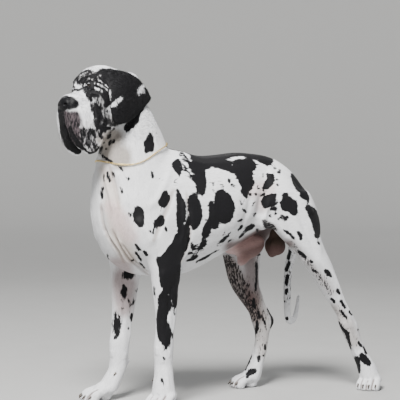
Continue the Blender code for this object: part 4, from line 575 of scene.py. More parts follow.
def path_distance(points, path):
    """Each point's distance from the path, and how far along it from 0 to 1."""
    best = np.full(len(points), 1e9)
    along = np.zeros(len(points))
    lengths = np.linalg.norm(np.diff(path, axis=0), axis=1)
    starts = np.concatenate([[0.0], np.cumsum(lengths)])
    for start, end, size, done in zip(path, path[1:], lengths, starts):
        t = np.clip((points - start) @ (end - start) / max(size * size, 1e-12), 0.0, 1.0)
        far = np.linalg.norm(points - start - t[:, None] * (end - start), axis=1)
        closer = far < best
        best[closer] = far[closer]
        along[closer] = (done + t[closer] * size) / starts[-1]
    return best, along


class Clay:
    """The skin's points, pushed in and out like clay."""

    LOOK = 0.035            # how far round a path its own skin is looked for
    FACING = (-0.1, 0.4)    # skin turned further away than this from the path's isn't pushed

    def __init__(self, points, normals):
        self.points, self.normals = points, normals

    def near(self, low, high):
        return np.flatnonzero(np.all((self.points > low) & (self.points < high), axis=1))

    def on_skin(self, place, reach):
        """The skin's nearest point within reach, or else the place itself."""
        close = self.near(place - reach, place + reach)
        if not len(close):
            return place
        return self.points[close[np.argmin(np.linalg.norm(self.points[close] - place, axis=1))]].copy()

    def stroke(self, width_mm, lift_mm, path_mm, ends=0.22):
        """A ridge, or with a negative lift a groove, along a path laid on the skin."""
        width, lift = width_mm / 1000, lift_mm / 1000
        places = smooth_path(np.array(path_mm) / 1000)
        span = self.near(places.min(axis=0) - self.LOOK, places.max(axis=0) + self.LOOK)
        if not len(span):
            return
        laid = [span[np.argmin(np.sum((self.points[span] - place) ** 2, axis=1))] for place in places]
        path, ways = self.points[laid], self.normals[laid]
        close = self.near(path.min(axis=0) - 3 * width, path.max(axis=0) + 3 * width)
        far, along = path_distance(self.points[close], path)
        taper = soft_step(along, 0.0, ends) * soft_step(1.0 - along, 0.0, ends)
        way = ways[np.minimum((along * len(ways)).astype(int), len(ways) - 1)]
        facing = soft_step(np.sum(self.normals[close] * way, axis=1), *self.FACING)
        push = lift * np.exp(-(far / width) ** 2) * taper * facing
        self.points[close] += self.normals[close] * push[:, None]


def in_head(path_mm, side):
    """A path given in the head's own mm, on its left with side -1 or its right with side 1."""
    return [tuple(1000 * at_head(f / 1000, side * y / 1000, up / 1000)) for f, y, up in path_mm]


def across(path_mm):
    """The same path on the other side of the trunk."""
    return [(x, 2 * MIDDLE_MM - y, z) for x, y, z in path_mm]


TRUNK_PRESS, FACE_PRESS = 1.25, 1.35    # how much deeper the folds are pressed than listed
clay = Clay(points, get_normals(skin.data))
for width, lift, path in TRUNK_FOLDS:
    clay.stroke(width, TRUNK_PRESS * lift, path)
    clay.stroke(width, TRUNK_PRESS * lift, across(path))
for width, lift, path in LEG_FOLDS:
    clay.stroke(width, lift, path)
for side in (-1, 1):
    for width, lift, path in FACE_FOLDS:
        clay.stroke(width, FACE_PRESS * lift, in_head(path, side))


# Each paw's x, y, degrees turned out, spacing of the toes, size, height and side.
PAWS = ((-0.2651, -0.1069, 32, 0.0245, 1.0, 1.0, -1), (-0.3951, 0.1241, 0, 0.0245, 1.0, 0.86, 1),
        (0.5649, -0.1189, 38, 0.0205, 0.93, 1.0, -1), (0.1919, 0.1261, 8, 0.0205, 0.93, 1.0, 1))

# The line between two toes: how far ahead of the paw's place, how far spread, and how high.
TOE_LINE = ((0.066, 1.0, 0.006), (0.060, 1.0, 0.020), (0.044, 0.95, 0.034), (0.022, 0.85, 0.044))
TOE_WIDTH, TOE_DEPTH, TOE_ENDS = 2.8, -4.5, 0.12


def toe_gaps():
    """The three lines between the toes of each paw, from the floor up to the instep."""
    gaps = []
    for x, y, turn, spacing, size, height, side in PAWS:
        turn = math.radians(turn)
        ahead = np.array([-math.cos(turn), side * math.sin(turn), 0.0])
        beside = np.array([math.sin(turn), side * math.cos(turn), 0.0])
        for k in (-1, 0, 1):
            gaps.append([tuple(1000 * (np.array([x, y, 0]) + ahead * f * size + beside * k * spacing * o
                                       + np.array([0, 0, z * size * height]))) for f, o, z in TOE_LINE])
    return gaps


for gap in toe_gaps():
    clay.stroke(TOE_WIDTH, TOE_DEPTH, gap, TOE_ENDS)
points = relax(clay.points, pairs, 0.35, 2)
put_points(skin.data, points)
shade_smooth(skin.data)

thin = skin.modifiers.new("thin", "DECIMATE")
triangles = 2 * len(skin.data.polygons)
thin.ratio = min(1.0, SKIN_FACES / triangles)
baked(skin)


# Where the coat is dark, light, ticked or bare, with its painted shade, highlights and reflection, kept on
# the skin's points as attributes.

SIGHT = np.array([math.sin(CAMERA_TURN), math.cos(CAMERA_TURN), 0.0])
SIGHT_SHARE = 0.66


def spot_field(points, chains, least=-0.03):
    """How deep each point lies inside the nearest spot, in metres; negative outside.
    A spot reaches further along SIGHT, so that it wraps round the form it lies on."""
    deep = np.full(len(points), least)
    for chain in chains:
        spots = np.array(chain, dtype=float) / 1000
        if len(spots) == 1:
            spots = np.vstack([spots, spots + [0.0005, 0, 0, 0]])
        for start, end in zip(spots, spots[1:]):
            size = 1.6 * (max(start[3], end[3]) - least)
            low, high = np.minimum(start, end)[:3] - size, np.maximum(start, end)[:3] + size
            close = np.flatnonzero(np.all((points > low) & (points < high), axis=1))
            if not len(close):
                continue
            line = end[:3] - start[:3]
            t = np.clip((points[close] - start[:3]) @ line / max(line @ line, 1e-12), 0.0, 1.0)
            offset = points[close] - start[:3] - t[:, None] * line
            offset -= SIGHT_SHARE * (offset @ SIGHT)[:, None] * SIGHT
            far = np.linalg.norm(offset, axis=1)
            deep[close] = np.maximum(deep[close], start[3] + (end[3] - start[3]) * t - far)
    return deep


def node_field(points, names, reach=0.03):
    """How near each point lies to the named nodes, as a depth like the spots'."""
    deep = np.full(len(points), -reach)
    for name in names:
        tree = BVHTree.FromPolygons(*node_shape(name))
        for index in np.flatnonzero(in_box(points, name, reach)):
            hit = tree.find_nearest(Vector(points[index]), reach)
            if hit[0] is not None:
                deep[index] = max(deep[index], 0.003 - hit[3])
    return deep


def node_shape(name):
    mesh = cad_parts[name].data
    return [v.co.copy() for v in mesh.vertices], [tuple(p.vertices) for p in mesh.polygons]


def blend_zone(points, zone, soft=0.014):
    """One at a zone's places and zero outside them, blended over twice the soft distance."""
    return soft_step(spot_field(points, [zone], -0.08), -soft, soft)


def put_float(mesh, name, values):
    layer = mesh.attributes.new(name, "FLOAT", "POINT")
    layer.data.foreach_set("value", values.astype(np.float32))


def put_colour(mesh, name, values):
    layer = mesh.attributes.new(name, "FLOAT_COLOR", "POINT")
    solid = np.ones((len(values), 1))
    layer.data.foreach_set("color", np.hstack([values, solid]).astype(np.float32).ravel())


# The hidden side. The trunk's patches swap ends about x = TRUNK_TURN_MM / 2. A leg's patches are
# shifted in x, by an amount for each height, onto the other leg of the pair.
TRUNK_TURN_MM = 40.0
HIND_STEP = ((0, 230, 470, 620), (-360, -220, -160, 0))
FORE_STEP = ((0, 170, 450, 600), (-137, -62, 0, 0))
SMALL_MM = 4.5          # chains that start with a smaller radius aren't repeated there


def far_side(chain, turned, step):
    """A chain of the near side moved to the hidden side, turned end for end or shifted with its leg."""
    moved = []
    for x, y, z, r in chain:
        x = TRUNK_TURN_MM - x if turned else x + (np.interp(z, *step) if step else 0.0)
        place = clay.on_skin(np.array([x, 2 * MIDDLE_MM - y, z]) / 1000, 0.07)
        moved.append((*(place * 1000), r))
    return moved


def other_cheek(chain):
    """A chain on the near half of the face, carried to the far half."""
    moved = []
    for x, y, z, r in chain:
        local = HEAD.inverted() @ Vector((x / 1000, y / 1000, z / 1000))
        place = HEAD @ Vector((local.x, -local.y, local.z))
        moved.append((*(place * 1000), r * 0.9))
    return moved


# The black saddle over the spine, and the thin line in front of it.
SPINE = [(-112, 21, 850, 8), (-85, 21, 845, 24), (-40, 21, 850, 34), (20, 21, 853, 37), (98, 21, 856, 37),
         (160, 21, 850, 30), (200, 21, 842, 22), (232, 21, 832, 10)]
RIDGE = [(-200, 14, 884, 3), (-175, 14, 874, 6), (-150, 15, 864, 7), (-125, 18, 854, 9)]


def all_dark():
    chains = [chain for group in DARK_SPOTS.values() for chain in group] + [SPINE, RIDGE]
    for group in ("back", "ribs"):
        chains += [far_side(chain, True, None) for chain in DARK_SPOTS[group]]
    for group in ("neck", "shoulder", "rump"):
        chains += [far_side(chain, False, None) for chain in DARK_SPOTS[group] if chain[0][3] > SMALL_MM]
    chains += [far_side(chain, False, HIND_STEP) for chain in DARK_SPOTS["hind_leg"]]
    chains += [far_side(chain, False, FORE_STEP) for chain in DARK_SPOTS["foreleg"][:2]]
    chains += [other_cheek(chain) for chain in DARK_SPOTS["head"][:12]]
    return chains


# Hair and bare skin between the black patches, and the painted shade and painted reflection laid on them.
COOL_WHITE = np.array([0.74, 0.745, 0.765])
MAUVE = np.array([0.078, 0.062, 0.069])
SPECKLE = np.array([0.42, 0.40, 0.42])
BEIGE = np.array([0.52, 0.455, 0.40])
# Colour of the painted shade on the throat.
THROAT_SHADE = np.array([0.27, 0.240, 0.212])
# Pink of the painted shade on the chest front and of the painted reflection on the rump.
PINK_SHADE_AND_REFLECTION = np.array([0.60, 0.47, 0.46])
BARE_PINK = np.array([0.40, 0.25, 0.235])
# Dark mauve of bare skin deepened with painted shade, for the groin and the far thigh's inner side.
GROIN_SKIN_AND_SHADE = np.array([0.105, 0.060, 0.056])
BARE_DARK = np.array([0.085, 0.058, 0.045])
GREY = np.array([0.16, 0.15, 0.15])
DULL = np.array([0.155, 0.120, 0.112])
# Pink-grey of the painted shade on the far forearm.
ARM_PINK_SHADE = np.array([0.36, 0.29, 0.29])
HOCK_GREY = np.array([0.40, 0.37, 0.355])
# Painted shade in the grooves of the folds on the front of the trunk.
FOLD_SHADE = np.array([0.30, 0.235, 0.20])
# Painted shade in the face's creases.
WRINKLE_SHADE = np.array([0.06, 0.055, 0.056])
SHADED = np.array([0.10, 0.098, 0.10])
# Painted shade in the gaps between the toes.
TOE_GAP_SHADE = np.array([0.16, 0.115, 0.10])
# Among the tints, the chest's pink, the throat, the far forearm, the groin and the far thigh's inner side are
# painted shade; the rump's pink is a painted reflection.
TINTS = (
    ("chest_beige", BEIGE, 0.75), ("chest_pink", PINK_SHADE_AND_REFLECTION, 0.75), ("throat_painted_shade", THROAT_SHADE, 0.9),
    ("rump_pink", PINK_SHADE_AND_REFLECTION, 0.6), ("far_forearm", ARM_PINK_SHADE, 0.85), ("far_hock_zone", HOCK_GREY, 0.8),
    ("near_hock_zone", HOCK_GREY, 0.8), ("far_thigh", DULL, 0.9), ("thigh_tick", DULL, 0.6),
    ("inner_thigh", GROIN_SKIN_AND_SHADE, 0.75), ("groin", GROIN_SKIN_AND_SHADE, 0.9), ("sheath", BARE_PINK, 0.9),
    ("mauve", MAUVE, 1.0), ("speckle", SPECKLE, 0.7), ("speckle_b", SPECKLE, 0.6),
    ("speckle_c", GREY, 0.8), ("cheek_zone", SHADED, 0.8), ("forehead_zone", GREY, 0.75),
    ("hip_grey", GREY, 0.9), ("ear_tip", MAUVE, 0.8))
TICKING = (
    ("speckle", 0.62), ("speckle_b", 0.55), ("speckle_c", 0.7), ("mauve", 0.5), ("forehead_zone", 0.62),
    ("cheek_zone", 0.55), ("thigh_tick", 0.5), ("far_thigh", 0.58), ("inner_thigh", 0.25),
    ("hip_grey", 0.75), ("far_hock_zone", 0.3), ("near_hock_zone", 0.25))
# How softly the zones end, in metres, where it isn't the usual amount.
FACE_SOFT = {"mauve": 0.008, "speckle": 0.007, "speckle_b": 0.006, "speckle_c": 0.006, "cheek_zone": 0.006,
             "forehead_zone": 0.006, "ear_tip": 0.008, "hip_grey": 0.005, "throat_painted_shade": 0.012,
             "sheath": 0.008}


def bare_and_shaded_between_thighs(points, normals):
    """One on the bare skin under the belly between the hind legs where it faces down, and zero off it; there
    the skin's own colour is darkened with painted shade.
    """
    aside = np.abs(points[:, 1] - MIDDLE)
    return (soft_step(0.085 - aside, 0.0, 0.025)
            * soft_step(points[:, 0], 0.06, 0.12) * soft_step(0.34 - points[:, 0], 0.0, 0.05)
            * soft_step(0.66 - points[:, 2], 0.0, 0.03) * soft_step(points[:, 2], 0.42, 0.50)
            * soft_step(-normals[:, 2], -0.35, 0.15))


def pale_coat_with_painted_light(points, normals):
    """The colour of the coat between its dark spots, with painted shade on the throat, chest front, far
    forearm and groin and in the folds, creases and toe gaps, and a painted reflection on the rump.
    """
    colour = np.tile(COOL_WHITE, (len(points), 1))

    def tint(towards, share):
        colour[:] += (towards - colour) * share[:, None]

    for name, towards, amount in TINTS:
        tint(towards, amount * blend_zone(points, ZONES[name], FACE_SOFT.get(name, 0.018)))
    for node, towards, amount in (("scrotum", BARE_DARK, 1.0), ("sheath", BARE_PINK, 0.85)):
        tint(towards, amount * soft_step(node_field(points, [node]), -0.006, 0.002))
    # Painted shade on the bare skin between the hind legs, where it faces down.
    tint(GROIN_SKIN_AND_SHADE, 0.85 * bare_and_shaded_between_thighs(points, normals))
    # Painted shade along the deeper grooves of the folds on the front of the trunk.
    fold_shade_lines = [[(*place, 0.42 * width) for place in path] for width, lift, path in TRUNK_FOLDS
            if lift < -3 and path[0][0] < 0]
    tint(FOLD_SHADE, 0.55 * soft_step(spot_field(points, fold_shade_lines), -0.006, 0.002))
    # Painted shade along the deeper creases of the face.
    crease_shade_lines = [[(*place, 0.5 * width) for place in in_head(path, side)]
               for side in (-1, 1) for width, lift, path in FACE_FOLDS if lift < -1.5]
    tint(WRINKLE_SHADE, 0.8 * soft_step(spot_field(points, crease_shade_lines), -0.002, 0.001))
    # Painted shade in the gaps between the toes.
    gaps = [[(*place, 2.4) for place in gap] for gap in toe_gaps()]
    tint(TOE_GAP_SHADE, 0.85 * soft_step(spot_field(points, gaps), -0.002, 0.001))
    return colour


def ticking(points):
    amount = np.full(len(points), 0.02)
    for name, value in TICKING:
        amount = np.maximum(amount, value * blend_zone(points, ZONES[name], FACE_SOFT.get(name, 0.014)))
    amount = np.maximum(amount, 0.40 * soft_step(node_field(points, ["tail_base", "tail_tip"]), -0.004, 0.002)
                        * soft_step(points[:, 2], 0.25, 0.32))
    return amount


def mark_skin(mesh):
    points = get_points(mesh)
    dark = spot_field(points, all_dark())
    dark = np.maximum(dark, node_field(points, ["ear_left", "ear_right"]) + 0.001)
    # White flecks, and painted highlights on the ear, cut out of the black.
    light = spot_field(points, WHITE_FLECKS_AND_EAR_HIGHLIGHTS)
    dark = np.where(light > -0.012, np.minimum(dark, -light), dark)
    leather = soft_step(node_field(points, ["nose"]), -0.003, 0.0)
    leather = np.maximum(leather, blend_zone(points, ZONES["leather"], 0.0025))
    down = np.maximum(soft_step(points[:, 2], 0.52, 0.40), soft_step(points[:, 0], -0.20, -0.34))
    put_float(mesh, "dark_depth", dark)
    put_float(mesh, "ticking", ticking(points))
    put_float(mesh, "leather", leather)
    put_float(mesh, "hair_down", down)
    put_colour(mesh, "pale_coat_with_painted_light", pale_coat_with_painted_light(points, get_normals(mesh)))


mark_skin(skin.data)


# Shader maths: Link wraps a socket, so that an expression on links adds its Math nodes.

class Link:
    def __init__(self, paint, socket):
        self.paint, self.socket = paint, socket

    def maths(self, operation, a, b=None):
        values = [a] if b is None else [a, b]
        return self.paint.add("ShaderNodeMath", {"operation": operation}, *values)

    def __add__(self, other): return self.maths("ADD", self, other)
    def __radd__(self, other): return self.maths("ADD", other, self)
    def __sub__(self, other): return self.maths("SUBTRACT", self, other)
    def __rsub__(self, other): return self.maths("SUBTRACT", other, self)
    def __mul__(self, other): return self.maths("MULTIPLY", self, other)
    def most(self, other): return self.maths("MAXIMUM", self, other)

    def ramp(self, low, high):
        """Nought below low and one above high, eased between them."""
        return self.paint.add("ShaderNodeMapRange", {"interpolation_type": "SMOOTHSTEP", "clamp": True},
                              self, low, high, 0.0, 1.0)


class Paint:
    """One material: add() makes a node from its type, its settings and its sockets' values or links."""

    def __init__(self, name, **constants):
        self.material = bpy.data.materials.new(name)
        self.material.use_nodes = True
        self.tree = self.material.node_tree
        self.shader = self.tree.nodes["Principled BSDF"]
        for socket, value in constants.items():
            self.shader.inputs[socket.replace("_", " ")].default_value = value

    def add(self, kind, settings=None, *values, output=0, **named):
        node = self.tree.nodes.new(kind)
        for key, value in (settings or {}).items():
            setattr(node, key, value)
        pairs = [(node.inputs[i], value) for i, value in enumerate(values)]
        pairs += [(node.inputs[key.replace("_", " ")], value) for key, value in named.items()]
        for socket, value in pairs:
            if isinstance(value, Link):
                self.tree.links.new(value.socket, socket)
            elif value is not None:
                socket.default_value = value
        return Link(self, node.outputs[output])

    def place(self, scale=(1, 1, 1), turn=(0, 0, 0)):
        here = self.add("ShaderNodeTexCoord", output="Object")
        return self.add("ShaderNodeMapping", None, Vector=here, Scale=scale, Rotation=turn)

    def kept(self, name, output="Fac"):
        return self.add("ShaderNodeAttribute", {"attribute_name": name}, output=output)

    def noise(self, place, scale, detail=3.0, rough=0.55):
        return self.add("ShaderNodeTexNoise", {"normalize": True}, Vector=place, Scale=scale,
                        Detail=detail, Roughness=rough, output="Fac")

    def cells(self, place, scale, output="Distance"):
        return self.add("ShaderNodeTexVoronoi", None, Vector=place, Scale=scale, output=output)

    def mix(self, amount, a, b):
        node = self.tree.nodes.new("ShaderNodeMix")
        node.data_type = "RGBA"
        for socket, value in ((node.inputs[0], amount), (node.inputs[6], a), (node.inputs[7], b)):
            if isinstance(value, Link):
                self.tree.links.new(value.socket, socket)
            else:
                socket.default_value = (*value, 1.0)
        return Link(self, node.outputs[2])

    def tinted(self, colour, amount):
        """The colour times an amount, by Vector Math, which keeps it a colour."""
        return self.add("ShaderNodeVectorMath", {"operation": "SCALE"}, colour, Scale=amount)

    def bump(self, height, depth, strength=1.0):
        return self.add("ShaderNodeBump", None, Strength=strength, Distance=depth, Height=height,
                        output="Normal")

    def feed(self, **sockets):
        for name, link in sockets.items():
            self.tree.links.new(link.socket, self.shader.inputs[name.replace("_", " ")])
        return self.material


FINE, MEDIUM, BROAD, FLECKS, PEBBLES = 1400.0, 420.0, 130.0, 240.0, 900.0      # noise scales
BLACK_HAIR = (0.0028, 0.0027, 0.0034), (0.015, 0.0145, 0.018)
BLACK_LEATHER = (0.0065, 0.0063, 0.0085), (0.0022, 0.0022, 0.0030)
HAIR_STRETCH = 0.22             # the noise's scale along the hair, as a share of that across it


def coat_paint():
    """White or tinted hair, which carries painted shade and a painted reflection, black where dark_depth and
    the ticking say so, with painted highlights on the ear cut out of the black, and bare leather.
    """
    paint = Paint("short_coat", Specular_IOR_Level=0.15, Sheen_Weight=0.03, Sheen_Roughness=0.5)
    down = paint.kept("hair_down")
    along = paint.place((HAIR_STRETCH, 1.0, 1.0), (0.0, math.radians(18), 0.0))
    below = paint.place((1.0, 1.0, HAIR_STRETCH))

    def hair(scale, detail=3.0):
        level = paint.noise(along, scale, detail)
        fall = paint.noise(below, scale, detail)
        return level * (1.0 - down) + fall * down

    fine, medium, broad = hair(FINE), hair(MEDIUM), hair(BROAD, 2.0)
    ragged = (medium - 0.5) * 0.010 + (broad - 0.5) * 0.009 + (fine - 0.5) * 0.004 + 0.0014
    dark = (paint.kept("dark_depth") + ragged).ramp(-0.0012, 0.0012)
    flecks = hair(FLECKS, 2.0)
    ticked = (paint.kept("ticking") - 0.5 + (flecks - 0.5) * 1.9).ramp(-0.02, 0.06)
    dark = dark.most(ticked * 0.92)
    light = paint.kept("pale_coat_with_painted_light", output="Color")
    strands = (fine * 0.5 + medium * 0.5).ramp(0.35, 0.65)
    shade = paint.tinted(light, 0.80 + strands * 0.22 - broad.ramp(0.45, 0.75) * 0.10)
    black = paint.mix(fine.ramp(0.45, 0.75) * 0.6, *BLACK_HAIR)
    leather = paint.kept("leather")
    pebbles = paint.cells(paint.place(), PEBBLES)
    colour = paint.mix(dark, shade, black)
    colour = paint.mix(leather, colour, paint.mix(pebbles.ramp(0.0, 0.6), *BLACK_LEATHER))
    rough = 0.70 - dark * 0.05 - leather * 0.34 + (fine - 0.5) * 0.15
    relief = (fine * 0.5 + medium * 0.5) * (1.0 - leather) + pebbles * leather
    return paint.feed(Base_Color=colour, Roughness=rough, Normal=paint.bump(relief, 0.0006, 0.7))


skin.data.materials.clear()
skin.data.materials.append(coat_paint())
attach(skin, "root")
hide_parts(*FLESH)


# Eyes: each ball bulges a little in front. Each point keeps its angle from the line of the eye's look,
# and the pupil, the iris and the white are rings of that angle.

EYE_OUT, EYE_UP, EYE_BULGE, EYE_SUNK = math.radians(24.0), 0.06, 0.05, 0.0004


def eye_paint():
    paint = Paint("brown_eye", Roughness=0.06, Coat_Weight=1.0, Coat_Roughness=0.02, IOR=1.38)
    turn = paint.kept("eye_turn")
    streaks = paint.noise(paint.place(), 900.0, 4.0)
    iris = paint.mix(streaks.ramp(0.35, 0.7), (0.012, 0.006, 0.003), (0.045, 0.020, 0.009))
    iris = paint.mix((turn + (streaks - 0.5) * 0.06).ramp(0.62, 0.74), iris, (0.006, 0.004, 0.003))
    colour = paint.mix(turn.ramp(0.26, 0.30), (0.0015, 0.0015, 0.0015), iris)
    white = paint.mix(streaks.ramp(0.5, 0.8), (0.10, 0.075, 0.07), (0.09, 0.035, 0.03))
    return paint.feed(Base_Color=paint.mix(turn.ramp(0.76, 0.84), colour, white))


def make_eye(side, paint):
    forward, out, up = EYE_AT
    middle = at_head(forward, -out if side == "left" else out, up)
    tilt = EYE_OUT * (-1 if side == "left" else 1)
    look = (HEAD.to_3x3() @ Vector((-math.cos(tilt), math.sin(tilt), EYE_UP))).normalized()
    ball = bmesh.new()
    bmesh.ops.create_uvsphere(ball, u_segments=40, v_segments=28, radius=1.0)
    turned = look.to_track_quat("Z", "Y").to_matrix()
    turns = []
    for vertex in ball.verts:
        turn = vertex.co.angle(Vector((0, 0, 1)))
        dome = EYE_BULGE * max(0.0, math.cos(min(turn / 0.8, 1.0) * math.pi / 2))
        vertex.co = middle + turned @ vertex.co * (EYE_RADIUS - EYE_SUNK) * (1.0 + dome)
        turns.append(turn)
    mesh = bpy.data.meshes.new("eyeball_" + side)
    ball.to_mesh(mesh)
    ball.free()
    put_float(mesh, "eye_turn", np.array(turns))
    shade_smooth(mesh)
    mesh.materials.append(paint)
    eye = new_object("eyeball_" + side, mesh)
    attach(eye, "root")
    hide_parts("eye_" + side)


brown_eye = eye_paint()
for side in SIDES:
    make_eye(side, brown_eye)


# Claws: the modelled ones, rounded, with streaked horn.

def claw_paint():
    paint = Paint("claw_horn", Coat_Weight=0.2, Coat_Roughness=0.3)
    streaks = paint.noise(paint.place((1.0, 1.0, 0.3)), 500.0, 3.0)
    colour = paint.mix(streaks.ramp(0.40, 0.62), (0.012, 0.010, 0.009), (0.12, 0.095, 0.075))
    return paint.feed(Base_Color=colour, Roughness=0.30 + streaks * 0.2,
                      Normal=paint.bump(streaks, 0.0004, 0.5))


claws = new_object("claws", gathered(CLAWS))
rounded = claws.modifiers.new("rounded", "SUBSURF")
rounded.levels = rounded.render_levels = 2
baked(claws)
shade_smooth(claws.data)
claws.data.materials.clear()
claws.data.materials.append(claw_paint())
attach(claws, "root")
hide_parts(*CLAWS)


# The chain: flat oval links, every second one turned, laid along the modelled ring.

def ring_line(name, bins=44):
    """The middle line of a closed ring, as points in order round it."""
    places = get_points(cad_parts[name].data)
    middle = places.mean(axis=0)
    turn = np.arctan2(places[:, 1] - middle[1], places[:, 0] - middle[0])
    bin_of = ((turn + math.pi) / (2 * math.pi) * bins).astype(int) % bins
    return np.array([places[bin_of == k].mean(axis=0) for k in range(bins) if np.any(bin_of == k)]), middle


def spaced(line, count):
    """Points at even steps round a closed line, with the way along it at each."""
    closed = np.vstack([line, line[:1]])
    done = np.concatenate([[0.0], np.cumsum(np.linalg.norm(np.diff(closed, axis=0), axis=1))])
    steps = np.linspace(0.0, done[-1], count, endpoint=False)
    places = np.column_stack([np.interp(steps, done, closed[:, k]) for k in range(3)])
    ways = np.roll(places, -1, axis=0) - np.roll(places, 1, axis=0)
    return places, ways / np.linalg.norm(ways, axis=1)[:, None], done[-1]


class Recipe:
    """A Geometry Nodes tree: node() adds one from its type, settings and sockets' values or links."""

    def __init__(self, name, **inputs):
        self.tree = bpy.data.node_groups.new(name, "GeometryNodeTree")
        face = self.tree.interface
        face.new_socket("Geometry", in_out="OUTPUT", socket_type="NodeSocketGeometry")
        face.new_socket("Geometry", in_out="INPUT", socket_type="NodeSocketGeometry")
        kinds = {float: "NodeSocketFloat", int: "NodeSocketInt", bpy.types.Material: "NodeSocketMaterial"}
        self.values = {}
        for key, value in inputs.items():
            kind = next(kinds[k] for k in kinds if isinstance(value, k))
            socket = face.new_socket(key, in_out="INPUT", socket_type=kind)
            self.values[socket.identifier] = value
        self.given = self.tree.nodes.new("NodeGroupInput")

    def node(self, kind, settings=None, **sockets):
        made = self.tree.nodes.new(kind)
        for key, value in (settings or {}).items():
            setattr(made, key, value)
        for key, value in sockets.items():
            socket = next(s for s in made.inputs if s.name == key.replace("_", " ") and s.enabled)
            if isinstance(value, bpy.types.NodeSocket):
                self.tree.links.new(value, socket)
            else:
                socket.default_value = value
        return next(s for s in made.outputs if s.enabled)

    def kept(self, name, kind):
        return self.node("GeometryNodeInputNamedAttribute", {"data_type": kind}, Name=name)

    def grow(self, base, geometry, material):
        """Ends the tree, runs it on base and returns the mesh it makes."""
        last = self.node("GeometryNodeRealizeInstances", Geometry=geometry)
        last = self.node("GeometryNodeSetMaterial", Geometry=last, Material=self.given.outputs[material])
        out = self.tree.nodes.new("NodeGroupOutput")
        self.tree.links.new(last, out.inputs["Geometry"])
        modifier = base.modifiers.new("grow", "NODES")
        modifier.node_group = self.tree
        for identifier, value in self.values.items():
            modifier[identifier] = value
        seen = bpy.context.evaluated_depsgraph_get()
        mesh = bpy.data.meshes.new_from_object(base.evaluated_get(seen))
        base.modifiers.remove(modifier)
        return mesh


def gold_paint():
    paint = Paint("gilt_links", Metallic=1.0)
    wear = paint.noise(paint.place(), 700.0, 3.0)
    return paint.feed(Base_Color=paint.mix(wear.ramp(0.35, 0.7), (0.90, 0.72, 0.34), (0.62, 0.45, 0.16)),
                      Roughness=0.24 + wear * 0.20)


LINK_STEP, LINK_LONG, LINK_WIDE, LINK_WIRE = 0.0047, 0.0038, 0.0024, 0.00075
ODD_ROLL, EVEN_ROLL = 52, -38           # degrees that every second link and the others are rolled
line, chain_middle = ring_line("chain_collar")
places, ways, length = spaced(line, 2 * round(0.5 * spaced(line, 50)[2] / LINK_STEP))
turns = []
for number, (place, way) in enumerate(zip(places, ways)):
    along = Vector(way)
    out = Vector(place - chain_middle)
    out = (out - along * out.dot(along)).normalized()
    roll = Quaternion(along, math.radians(ODD_ROLL if number % 2 else EVEN_ROLL))
    out = roll @ out
    turns.append(Matrix((along, out.cross(along), out)).transposed().to_quaternion())
rail = bpy.data.meshes.new("chain_rail")
rail.from_pydata([tuple(place) for place in places], [], [])
layer = rail.attributes.new("link_turn", "QUATERNION", "POINT")
layer.data.foreach_set("value", np.array([tuple(q) for q in turns], dtype=np.float32).ravel())
rail = new_object("chain_rail", rail)
gold = gold_paint()
recipe = Recipe("chain_recipe", Long=LINK_LONG, Wide=LINK_WIDE, Wire=LINK_WIRE, Metal=gold)
given = recipe.given.outputs
oval = recipe.node("GeometryNodeCurvePrimitiveCircle", {"mode": "RADIUS"}, Resolution=12, Radius=1.0)
size = recipe.node("ShaderNodeCombineXYZ", X=given["Long"], Y=given["Wide"], Z=1.0)
oval = recipe.node("GeometryNodeTransform", Geometry=oval, Scale=size)
wire = recipe.node("GeometryNodeCurvePrimitiveCircle", {"mode": "RADIUS"}, Resolution=5, Radius=given["Wire"])
link = recipe.node("GeometryNodeCurveToMesh", Curve=oval, Profile_Curve=wire)
laid = recipe.node("GeometryNodeInstanceOnPoints", Points=recipe.node("GeometryNodeMeshToPoints",
                   Mesh=given["Geometry"]), Instance=link, Rotation=recipe.kept("link_turn", "QUATERNION"))
chain = new_object("chain", recipe.grow(rail, laid, "Metal"))
bpy.data.objects.remove(rail, do_unlink=True)
shade_smooth(chain.data)
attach(chain, "root")
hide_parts("chain_collar")


# Tufts: short blades of hair that lie along the coat, thickest where the coat breaks the outline.

HEAD_BACK = -np.array(HEAD.to_3x3() @ Vector((-1, 0, 0)))
LEG_HAIR, TRUNK_HAIR = np.array([0.12, 0.0, -1.0]), np.array([0.9, 0.0, -0.42])
NECK_HAIR = np.array([0.55, 0.0, -0.85])
HAIR_LIFT = 0.20


def hair_ways(points, normals):
    """The way the hair lies at each point, lifted a little off the skin."""
    trunk = soft_step(points[:, 2], 0.44, 0.56)[:, None]
    neck = soft_step(points[:, 0], -0.20, -0.36)[:, None] * soft_step(points[:, 2], 0.60, 0.75)[:, None]
    head = soft_step(node_box_depth(points, "head"), -0.01, 0.03)[:, None]
    way = LEG_HAIR * (1 - trunk) + TRUNK_HAIR * trunk
    way += (NECK_HAIR - way) * neck
    way += (HEAD_BACK + np.array([0.0, 0.0, -0.25]) - way) * head
    way -= np.sum(way * normals, axis=1)[:, None] * normals
    way /= np.maximum(np.linalg.norm(way, axis=1), 1e-6)[:, None]
    return way + normals * HAIR_LIFT


def node_box_depth(points, name):
    """How far inside a node's box each point is; negative outside it."""
    corners = get_points(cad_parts[name].data)
    return np.min(np.minimum(points - corners.min(axis=0), corners.max(axis=0) - points), axis=1)


